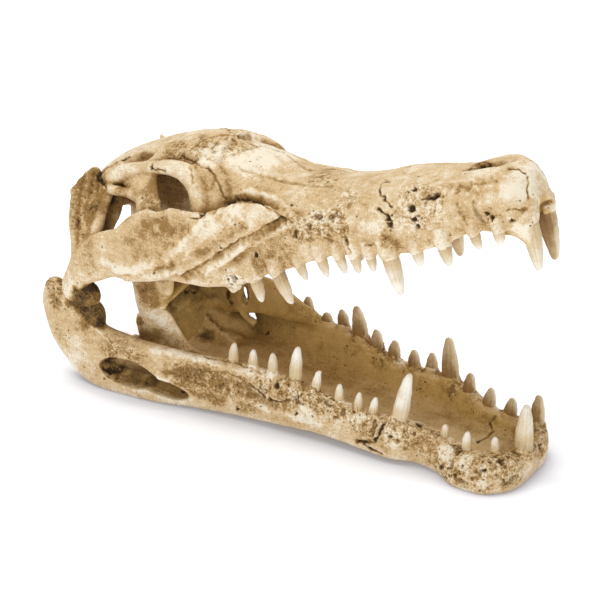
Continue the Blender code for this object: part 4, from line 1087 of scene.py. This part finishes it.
def inside_lower(points, normals):
    """Everything between the two tooth rows but the outer faces of the leaves."""
    rows = np.array(JAW_STATIONS)
    x = points[:, 0] - JOINT_X
    half = np.interp(x, rows[:, 0], rows[:, 1])
    medial = ramp(half - np.abs(points[:, 1]), 1.0, 4.0)
    outward = np.sign(points[:, 1]) * normals[:, 1]
    leaf = (ramp(np.abs(points[:, 1]), 26.0, 28.0) * ramp(LEAF_FRONT - x, 0.0, 8.0)
            * ramp(points[:, 2], 12.0, 18.0) * ramp(outward, -0.2, 0.4))
    return medial * (1 - leaf) * ramp(points[:, 2], 1.5, 4.0) * ramp(-normals[:, 2], -1.2, 0.4) ** 0.3


def make_upper():
    late = bmesh.new()
    for side in (RIGHT, LEFT):
        add_skull_windows(late, side)
        add_fang_root(late, side)
    add_teeth_sockets(late, upper_rows(), 0.0, True)
    return carved_jaw("upper_skull", upper_form(), upper_openings(), late, upper_to_ground(),
                      (UPPER_LINES, UPPER_PITS, UPPER_GRIT_AND_SHADE), inside_upper)


def make_lower():
    late = lower_bars()
    add_teeth_sockets(late, lower_rows(), JOINT_X, False)
    return carved_jaw("lower_jaw", lower_form(), lower_openings(), late,
                      Matrix.Translation((0.0, 0.0, -BASE_LEVEL)),
                      (LOWER_LINES, LOWER_PITS, LOWER_GRIT_AND_SHADE), inside_lower)


# ------------------------------------------------------------ node helpers

class Nodes:
    """Short way to fill a node tree."""

    def __init__(self, tree):
        self.tree = tree

    def add(self, kind, settings=None, **inputs):
        """Node of a kind; inputs are values or sockets, by name with _ for a space."""
        node = self.tree.nodes.new(kind)
        for key, value in (settings or {}).items():
            setattr(node, key, value)
        for key, value in inputs.items():
            self.feed(node.inputs[key.replace("_", " ")], value)
        return node

    def feed(self, socket, value):
        if isinstance(value, bpy.types.NodeSocket):
            self.tree.links.new(value, socket)
        elif value is not None:
            socket.default_value = value

    def math(self, operation, *values):
        node = self.add("ShaderNodeMath", {"operation": operation})
        for socket, value in zip(node.inputs, values):
            self.feed(socket, value)
        return node.outputs[0]

    def vector(self, operation, first, second=None, scale=None):
        node = self.add("ShaderNodeVectorMath", {"operation": operation})
        for key, value in ((0, first), (1, second), ("Scale", scale)):
            if value is not None:
                self.feed(node.inputs[key], value)
        return node.outputs["Value" if operation == "LENGTH" else 0]

    def remap(self, value, low, high, start=0.0, end=1.0):
        node = self.add("ShaderNodeMapRange", {"interpolation_type": "SMOOTHSTEP"}, Value=value)
        for key, number in (("From Min", low), ("From Max", high), ("To Min", start), ("To Max", end)):
            self.feed(node.inputs[key], number)
        return node.outputs["Result"]

    def mix(self, share, first, second):
        node = self.add("ShaderNodeMix", {"data_type": "RGBA"})
        self.feed(node.inputs[0], share)
        self.feed(node.inputs[6], first)
        self.feed(node.inputs[7], second)
        return node.outputs[2]

    def weigh(self, amount, rows):
        """Adds to an amount how far each value is from its middle, times its weight."""
        for value, weight, middle in rows:
            centred = self.math("SUBTRACT", value, middle)
            amount = self.math("ADD", amount, self.math("MULTIPLY", centred, weight))
        return amount

    def noise(self, where, scale, detail=3.0, roughness=0.55):
        node = self.add("ShaderNodeTexNoise", None, Vector=where, Scale=scale, Detail=detail,
                        Roughness=roughness)
        return node.outputs["Fac"]


def sockets(tree, inputs, outputs):
    """Named sockets of a group: (name, kind, default) and (name, kind)."""
    kinds = {"float": "NodeSocketFloat", "color": "NodeSocketColor", "vector": "NodeSocketVector",
             "int": "NodeSocketInt", "geometry": "NodeSocketGeometry", "material": "NodeSocketMaterial"}
    for name, kind, default in inputs:
        socket = tree.interface.new_socket(name=name, in_out="INPUT", socket_type=kinds[kind])
        if default is not None:
            socket.default_value = default
    for name, kind in outputs:
        tree.interface.new_socket(name=name, in_out="OUTPUT", socket_type=kinds[kind])


def colour(red, green, blue):
    """Linear colour from a screen colour of 0 to 255."""
    return tuple(((v / 255 + 0.055) / 1.055) ** 2.4 if v > 10 else v / 255 / 12.92
                 for v in (red, green, blue)) + (1.0,)


# ------------------------------------------------------------ shared effects

def wash_group():
    """Ivory on what stands out, tan below it and brown in what is hollow."""
    tree = bpy.data.node_groups.new("Brushed wash", "ShaderNodeTree")
    sockets(tree, [("Amount", "float", 0.5), ("Ivory", "color", None), ("Tan", "color", None),
                   ("Brown", "color", None), ("Dark", "color", None)], [("Color", "color")])
    nodes = Nodes(tree)
    given = nodes.add("NodeGroupInput").outputs
    shade = given["Ivory"]
    for name, first, full in (("Tan", 0.10, 0.50), ("Brown", 0.45, 0.85), ("Dark", 0.85, 1.35)):
        shade = nodes.mix(nodes.remap(given["Amount"], first, full), shade, given[name])
    nodes.add("NodeGroupOutput", None, Color=shade)
    return tree


def pits_group():
    """Small round pores, thicker where Density is high."""
    tree = bpy.data.node_groups.new("Pores", "ShaderNodeTree")
    sockets(tree, [("Vector", "vector", None), ("Scale", "float", 500.0), ("Density", "float", 0.2)],
            [("Mask", "float")])
    nodes = Nodes(tree)
    given = nodes.add("NodeGroupInput").outputs
    bent = nodes.add("ShaderNodeTexNoise", None, Vector=given["Vector"], Scale=900.0, Detail=1.0)
    away = nodes.vector("SCALE", bent.outputs["Color"], scale=0.0009)
    where = nodes.vector("ADD", given["Vector"], away)
    cells = nodes.add("ShaderNodeTexVoronoi", None, Vector=where, Scale=given["Scale"])
    chance = nodes.add("ShaderNodeSeparateColor", None, Color=cells.outputs["Color"])
    chosen = nodes.math("LESS_THAN", chance.outputs[0], given["Density"])
    size = nodes.math("MULTIPLY_ADD", chance.outputs[1], 0.22, 0.10)
    gap = nodes.math("DIVIDE", cells.outputs["Distance"], size)
    mask = nodes.math("MULTIPLY", nodes.remap(gap, 0.7, 1.15, 1.0, 0.0), chosen)
    nodes.add("NodeGroupOutput", None, Mask=mask)
    return tree


def grain_group():
    """Cloudy and fine unevenness, and streaks that run along the bone."""
    tree = bpy.data.node_groups.new("Bone grain", "ShaderNodeTree")
    sockets(tree, [("Vector", "vector", None), ("Fine", "float", 1000.0)],
            [("Clouds", "float"), ("Patches", "float"), ("Specks", "float"), ("Streaks", "float")])
    nodes = Nodes(tree)
    given = nodes.add("NodeGroupInput").outputs
    clouds = nodes.noise(given["Vector"], 75.0, detail=5.0, roughness=0.6)
    patches = nodes.noise(given["Vector"], 260.0, detail=4.0, roughness=0.6)
    specks = nodes.noise(given["Vector"], given["Fine"], detail=3.0, roughness=0.6)
    turned = nodes.add("ShaderNodeMapping", None, Vector=given["Vector"], Rotation=(0.0, 0.38, 0.1),
                       Scale=(0.16, 1.0, 1.0))
    streaks = nodes.noise(turned.outputs[0], 700.0, detail=4.0, roughness=0.6)
    nodes.add("NodeGroupOutput", None, Clouds=clouds, Patches=patches, Specks=specks, Streaks=streaks)
    return tree


GROUPS = {}


def place_group(nodes, name, **inputs):
    """A shared effect, placed in a material with its own values."""
    makers = {"wash": wash_group, "pores": pits_group, "grain": grain_group}
    if name not in GROUPS:
        GROUPS[name] = makers[name]()
    return nodes.add("ShaderNodeGroup", {"node_tree": GROUPS[name]}, **inputs).outputs


IVORY = colour(241, 228, 203)
TAN = colour(212, 181, 134)
BROWN = colour(152, 115, 61)
DARK = colour(58, 38, 13)
OLIVE = colour(211, 174, 100)
OLIVE_DARK = colour(76, 52, 14)
TOOTH_IVORY, TOOTH_TAN, TOOTH_BROWN = colour(247, 241, 228), colour(214, 190, 148), colour(150, 116, 68)
BONE_ROUGHNESS, TOOTH_ROUGHNESS, PAPER_ROUGHNESS = 0.62, 0.42, 0.9
SPECULAR = 0.35
HOLLOW_WASH_AND_SHADE = 0.90          # how much more wash and painted shade a deep hollow gets than open bone


def new_material(name, roughness):
    material = bpy.data.materials.new(name)
    material.use_nodes = True
    shader = material.node_tree.nodes["Principled BSDF"]
    shader.inputs["Roughness"].default_value = roughness
    shader.inputs["Specular IOR Level"].default_value = SPECULAR
    return material, shader


def attribute(nodes, name):
    return nodes.add("ShaderNodeAttribute", {"attribute_name": name}).outputs["Fac"]


def resin_material(name, base_wash, streak):
    """Matt brushed resin of a jaw; it reads the painted values of the mesh."""
    material, shader = new_material(name, BONE_ROUGHNESS)
    nodes = Nodes(material.node_tree)
    where = nodes.add("ShaderNodeTexCoord").outputs["Object"]
    grain = place_group(nodes, "grain", Vector=where)
    hollow, edge = attribute(nodes, "hollow"), attribute(nodes, "edge")
    stain, grit = attribute(nodes, "stain"), attribute(nodes, "grit")
    crack, inside = attribute(nodes, "crack"), attribute(nodes, "inside")

    specks = nodes.math("MULTIPLY_ADD", grit, 1.3, 0.70)
    patches = nodes.math("MULTIPLY_ADD", grit, 1.5, 0.28)
    # Painted shade and wash in hollows, from the hollow value; the stain value adds discolouring and the
    # painted shade of some patches
    amount = nodes.weigh(nodes.math("MULTIPLY_ADD", hollow, HOLLOW_WASH_AND_SHADE, base_wash), (
        (stain, 1.55, 0.5), (grain["Clouds"], 0.75, 0.5), (grain["Streaks"], streak, 0.5),
        (edge, -0.65, 0.5), (grain["Specks"], specks, 0.5), (grain["Patches"], patches, 0.5)))
    outer = place_group(nodes, "wash", Amount=amount, Ivory=IVORY, Tan=TAN, Brown=BROWN, Dark=DARK)

    inner = nodes.mix(nodes.remap(amount, 0.10, 1.90), OLIVE, OLIVE_DARK)
    shade = nodes.mix(nodes.math("MULTIPLY", inside, 0.9), outer["Color"], inner)

    density = nodes.math("MULTIPLY_ADD", grit, 0.55, 0.05)
    pores = place_group(nodes, "pores", Vector=where, Scale=520.0, Density=density)
    fine_pores = place_group(nodes, "pores", Vector=where, Scale=1000.0, Density=density)
    holes = nodes.math("MAXIMUM", pores["Mask"], nodes.math("MULTIPLY", fine_pores["Mask"], 0.7))
    shade = nodes.mix(nodes.math("MULTIPLY", holes, 0.75), shade, DARK)
    shade = nodes.mix(nodes.remap(crack, 0.05, 0.8, 0.0, 0.95), shade, DARK)
    nodes.feed(shader.inputs["Base Color"], shade)

    height = nodes.math("MULTIPLY", grain["Specks"], nodes.math("ADD", grit, 0.22))
    height = nodes.math("ADD", height, nodes.math("MULTIPLY", grain["Streaks"], 0.25))
    height = nodes.math("SUBTRACT", height, nodes.math("MULTIPLY", holes, 0.9))
    bump = nodes.add("ShaderNodeBump", None, Strength=0.75, Distance=0.0006, Height=height)
    nodes.feed(shader.inputs["Normal"], bump.outputs[0])
    nodes.feed(shader.inputs["Roughness"], nodes.remap(amount, 0.0, 0.9, 0.5, 0.78))
    return material


def tooth_material():
    """Smooth resin of a tooth: white outside, brown at the root and on its inner face."""
    material, shader = new_material("tooth_resin", TOOTH_ROUGHNESS)
    nodes = Nodes(material.node_tree)
    where = nodes.add("ShaderNodeTexCoord").outputs["Object"]
    grain = place_group(nodes, "grain", Vector=where, Fine=900.0)
    flute = attribute(nodes, "flute")
    amount = nodes.weigh(nodes.remap(attribute(nodes, "share"), 0.0, 0.85, 0.95, 0.24), (
        (grain["Clouds"], 0.7, 0.5), (grain["Specks"], 0.25, 0.5), (flute, 0.10, 0.5),
        (attribute(nodes, "inner"), 0.34, 0.0), (attribute(nodes, "tone"), 0.4, 0.5)))
    washed = place_group(nodes, "wash", Amount=amount, Ivory=TOOTH_IVORY, Tan=TOOTH_TAN,
                         Brown=TOOTH_BROWN, Dark=DARK)
    nodes.feed(shader.inputs["Base Color"], washed["Color"])
    height = nodes.weigh(nodes.math("MULTIPLY", grain["Specks"], 0.35), ((flute, 0.25, 0.5),))
    bump = nodes.add("ShaderNodeBump", None, Strength=0.5, Distance=0.0005, Height=height)
    nodes.feed(shader.inputs["Normal"], bump.outputs[0])
    return material


# ------------------------------------------------------------ teeth

def tooth_profile(node):
    """Half width of a tooth from its buried end to its blunt tip."""
    curve = node.mapping.curves[0]
    shape = [(0.0, 0.0), (0.05, 0.72), (0.14, 1.0), (0.30, 1.02), (0.50, 0.95), (0.70, 0.79),
             (0.86, 0.58), (0.94, 0.42), (0.98, 0.26), (1.0, 0.0)]
    curve.points[0].location, curve.points[1].location = shape[0], shape[-1]
    for place in shape[1:-1]:
        curve.points.new(*place)
    node.mapping.update()


def teeth_tree():
    """Geometry nodes that grow a fluted, bent tooth from each point of a mesh."""
    tree = bpy.data.node_groups.new("Teeth", "GeometryNodeTree")
    sockets(tree, [("Points", "geometry", None), ("Sides", "int", 26), ("Rings", "int", 30),
                   ("Flutes", "float", 11.0), ("Flute depth", "float", 0.012),
                   ("Lumps", "float", 0.16), ("Root share", "float", TOOTH_ROOT_SHARE),
                   ("Material", "material", None)], [("Teeth", "geometry")])
    nodes = Nodes(tree)
    given = nodes.add("NodeGroupInput").outputs
    sphere = nodes.add("GeometryNodeMeshUVSphere", None, Segments=given["Sides"],
                       Rings=given["Rings"], Radius=1.0)
    position = nodes.add("GeometryNodeInputPosition").outputs[0]
    x, y, z = nodes.add("ShaderNodeSeparateXYZ", None, Vector=position).outputs
    angle = nodes.math("ARCTAN2", y, x)
    along = nodes.math("DIVIDE", nodes.math("ARCCOSINE", nodes.math("MULTIPLY", z, -1.0)), math.pi)
    profile = nodes.add("ShaderNodeFloatCurve", None, Value=along)
    tooth_profile(profile)
    wave = nodes.math("SINE", nodes.math("MULTIPLY", angle, given["Flutes"]))
    ripple = nodes.math("MULTIPLY_ADD", wave, given["Flute depth"], 1.0)
    radius = nodes.math("MULTIPLY", profile.outputs[0], ripple)
    whole = nodes.math("ADD", given["Root share"], 1.0)
    height = nodes.math("SUBTRACT", nodes.math("MULTIPLY", along, whole), given["Root share"])
    across, sideways = (nodes.math("MULTIPLY", nodes.math(turn, angle), radius)
                        for turn in ("COSINE", "SINE"))
    shaped = nodes.add("ShaderNodeCombineXYZ", None, X=across, Y=sideways, Z=height)
    tooth = nodes.add("GeometryNodeSetPosition", None, Geometry=sphere.outputs["Mesh"],
                      Position=shaped.outputs[0])
    kept = tooth.outputs[0]
    for name, value in (("share", height), ("flute", nodes.math("MULTIPLY_ADD", wave, 0.5, 0.5))):
        store = nodes.add("GeometryNodeStoreNamedAttribute", {"data_type": "FLOAT", "domain": "POINT"},
                          Geometry=kept, Name=name, Value=value)
        kept = store.outputs[0]

    def named(name, kind):
        node = nodes.add("GeometryNodeInputNamedAttribute", {"data_type": kind}, Name=name)
        return node.outputs["Attribute"]

    turned = nodes.add("FunctionNodeAlignRotationToVector", {"axis": "Z"},
                       Vector=named("axis", "FLOAT_VECTOR"))
    placed = nodes.add("GeometryNodeInstanceOnPoints", None, Points=given["Points"], Instance=kept,
                       Rotation=turned.outputs[0], Scale=named("size", "FLOAT_VECTOR"))
    real = nodes.add("GeometryNodeRealizeInstances", None, Geometry=placed.outputs[0])
    share = named("share", "FLOAT")
    bend = nodes.vector("SCALE", named("bend", "FLOAT_VECTOR"), scale=nodes.math("MULTIPLY", share, share))
    lump = nodes.add("ShaderNodeTexNoise", None, Scale=0.35, Detail=2.0, Vector=position)
    swell = nodes.math("MULTIPLY", nodes.math("SUBTRACT", lump.outputs["Fac"], 0.5),
                       nodes.math("MULTIPLY", given["Lumps"], 6.0))
    outward = nodes.add("GeometryNodeInputNormal").outputs[0]
    offset = nodes.vector("ADD", bend, nodes.vector("SCALE", outward, scale=swell))
    moved = nodes.add("GeometryNodeSetPosition", None, Geometry=real.outputs[0], Offset=offset)
    smooth = nodes.add("GeometryNodeSetShadeSmooth", None, Geometry=moved.outputs[0])
    skinned = nodes.add("GeometryNodeSetMaterial", None, Geometry=smooth.outputs[0],
                        Material=given["Material"])
    nodes.add("NodeGroupOutput", None, Teeth=skinned.outputs[0])
    return tree


def tooth_points(name, teeth, base_x, down, matrix):
    """Mesh of one point for each tooth, with its size, axis and bend as attributes."""
    way = -1.0 if down else 1.0
    turn = matrix.to_3x3()
    places, sizes, axes, bends, tones = [], [], [], [], []
    random = np.random.default_rng(5)
    for side, (x, y, gum, lean, length, radius) in teeth:
        places.append(matrix @ Vector((base_x + x, side * y, gum)))
        tip = Vector((TILT_SHARE * lean, side * OUTWARD_TILT * length, way * length))
        axes.append((turn @ tip).normalized())
        sizes.append((TOOTH_WIDTH * radius, TOOTH_THICKNESS * radius, tip.length))
        bends.append(turn @ Vector(((1 - TILT_SHARE) * lean, -side * INWARD_BEND * length, 0.0)))
        tones.append(random.uniform(0.3, 0.7))
    mesh = bpy.data.meshes.new(name + "_points")
    mesh.from_pydata(places, [], [])
    for key, rows in (("size", sizes), ("axis", axes), ("bend", bends)):
        layer = mesh.attributes.new(key, "FLOAT_VECTOR", "POINT")
        layer.data.foreach_set("vector", np.array(rows, np.float32).ravel())
    layer = mesh.attributes.new("tone", "FLOAT", "POINT")
    layer.data.foreach_set("value", np.array(tones, np.float32))
    return new_object(name, mesh)


def grown_teeth(name, teeth, base_x, down, matrix, tree, material):
    """Teeth as one plain mesh, in metres, with how far each point faces inwards."""
    item = tooth_points(name, teeth, base_x, down, matrix)
    modifier = item.modifiers.new("Teeth", "NODES")
    modifier.node_group = tree
    for socket in tree.interface.items_tree:
        if socket.in_out == "INPUT" and socket.name == "Material":
            modifier[socket.identifier] = material
    settled(item)
    mesh = item.data
    points, normals = points_of(mesh), normals_of(mesh)
    inward = -np.sign(points[:, 1]) * normals[:, 1] - 0.55 * normals[:, 0]
    paint(mesh, "inner", ramp(inward, -0.35, 0.65))
    mesh.transform(Matrix.Scale(MM, 4))
    mesh.shade_smooth()
    return item


# ------------------------------------------------------------ stage

# Lights: name, place and aim in metres, diameter, watts and tint
LIGHTS = [
    ("key", (-0.40, -0.10, 1.20), (0.0, 0.0, 0.07), 0.8, 6.4, (1.0, 0.98, 0.95)),
    ("front", (0.55, -1.10, 0.60), (0.02, 0.0, 0.07), 1.2, 4.9, (1.0, 1.0, 1.0)),
    ("rim", (0.1, 0.9, 0.9), (0.0, 0.0, 0.08), 0.8, 4.0, (1.0, 1.0, 1.0)),
]
PAPER, PALE_PAPER = (0.77, 0.785, 0.82, 1), (0.80, 0.815, 0.85, 1)
CONTACT_SHADE = (0.50, 0.50, 0.56, 1)
STUDIO_COLOUR, STUDIO_STRENGTH = (0.94, 0.97, 1.0, 1.0), 0.5
FLOOR_HALF_SIZE = 6.0
SHADE_REACH = 0.03          # how far from the ornament the floor is shaded, in metres


def soft_light(name, place, aim, size, power, tint):
    data = bpy.data.lights.new(name, "AREA")
    data.shape = "DISK"
    data.size, data.energy, data.color = size, power, tint
    item = new_object(name, data)
    item.location = place
    item.rotation_euler = (Vector(aim) - Vector(place)).to_track_quat("-Z", "Y").to_euler()


def make_stage():
    """Pale floor, white surroundings, soft studio lights and the camera."""
    form = bmesh.new()
    bmesh.ops.create_grid(form, x_segments=1, y_segments=1, size=FLOOR_HALF_SIZE)
    floor = mesh_object("floor", form)
    material, shader = new_material("floor_paper", PAPER_ROUGHNESS)
    nodes = Nodes(material.node_tree)
    where = nodes.add("ShaderNodeTexCoord").outputs["Object"]
    paper = nodes.mix(nodes.noise(where, 400.0), PAPER, PALE_PAPER)
    openness = nodes.add("ShaderNodeAmbientOcclusion", {"samples": 16}, Distance=SHADE_REACH)
    clear = nodes.remap(openness.outputs["AO"], 0.35, 0.95)
    nodes.feed(shader.inputs["Base Color"], nodes.mix(clear, CONTACT_SHADE, paper))
    shader.inputs["Emission Color"].default_value = (1.0, 1.0, 1.0, 1.0)
    # The paper glows, more with distance and less in the contact shade
    away = nodes.vector("LENGTH", where)
    glow = nodes.remap(away, 0.10, 0.55, 0.38, 0.65)
    lit = nodes.remap(clear, 0.0, 1.0, 0.4, 1.0)
    nodes.feed(shader.inputs["Emission Strength"], nodes.math("MULTIPLY", glow, lit))
    floor.data.materials.append(material)

    world = bpy.data.worlds.new("studio")
    world.use_nodes = True
    background = world.node_tree.nodes["Background"].inputs
    background["Color"].default_value = STUDIO_COLOUR
    background["Strength"].default_value = STUDIO_STRENGTH
    bpy.context.scene.world = world
    bpy.context.scene.view_settings.view_transform = "Standard"

    for light in LIGHTS:
        soft_light(*light)

    back, _, _ = camera_axes()
    camera = new_object("camera", bpy.data.cameras.new("camera"))
    camera.location = (TARGET + back * CAMERA_DISTANCE) * MM
    camera.rotation_euler = back.to_track_quat("Z", "Y").to_euler()
    camera.data.sensor_width = SENSOR
    camera.data.lens = LENS
    camera.data.clip_start = 0.01
    bpy.context.scene.camera = camera


# ------------------------------------------------------------ the whole ornament

def make_ornament():
    tree, enamel = teeth_tree(), tooth_material()
    upper, lower = make_upper(), make_lower()
    for jaw, resin in ((upper, resin_material("skull_resin", base_wash=0.42, streak=0.35)),
                       (lower, resin_material("jaw_resin", base_wash=0.44, streak=0.40))):
        jaw.data.materials.clear()
        jaw.data.materials.append(resin)
    teeth_up = grown_teeth("upper_teeth", upper_rows(), 0.0, True, upper_to_ground(), tree, enamel)
    teeth_low = grown_teeth("lower_teeth", lower_rows(), JOINT_X, False,
                            Matrix.Translation((0.0, 0.0, -BASE_LEVEL)), tree, enamel)

    for piece, slot in ((upper, "resin_pale"), (lower, "resin_tan"), (teeth_up, "resin_pale"),
                        (teeth_low, "resin_pale")):
        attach(piece, "root")
    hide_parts("snout", "skull_table", "braincase", "cheek_right", "cheek_left",
                "pterygoid")
    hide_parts("jaw_right", "jaw_left", "jaw_front", "jaw_floor")


make_stage()
make_ornament()
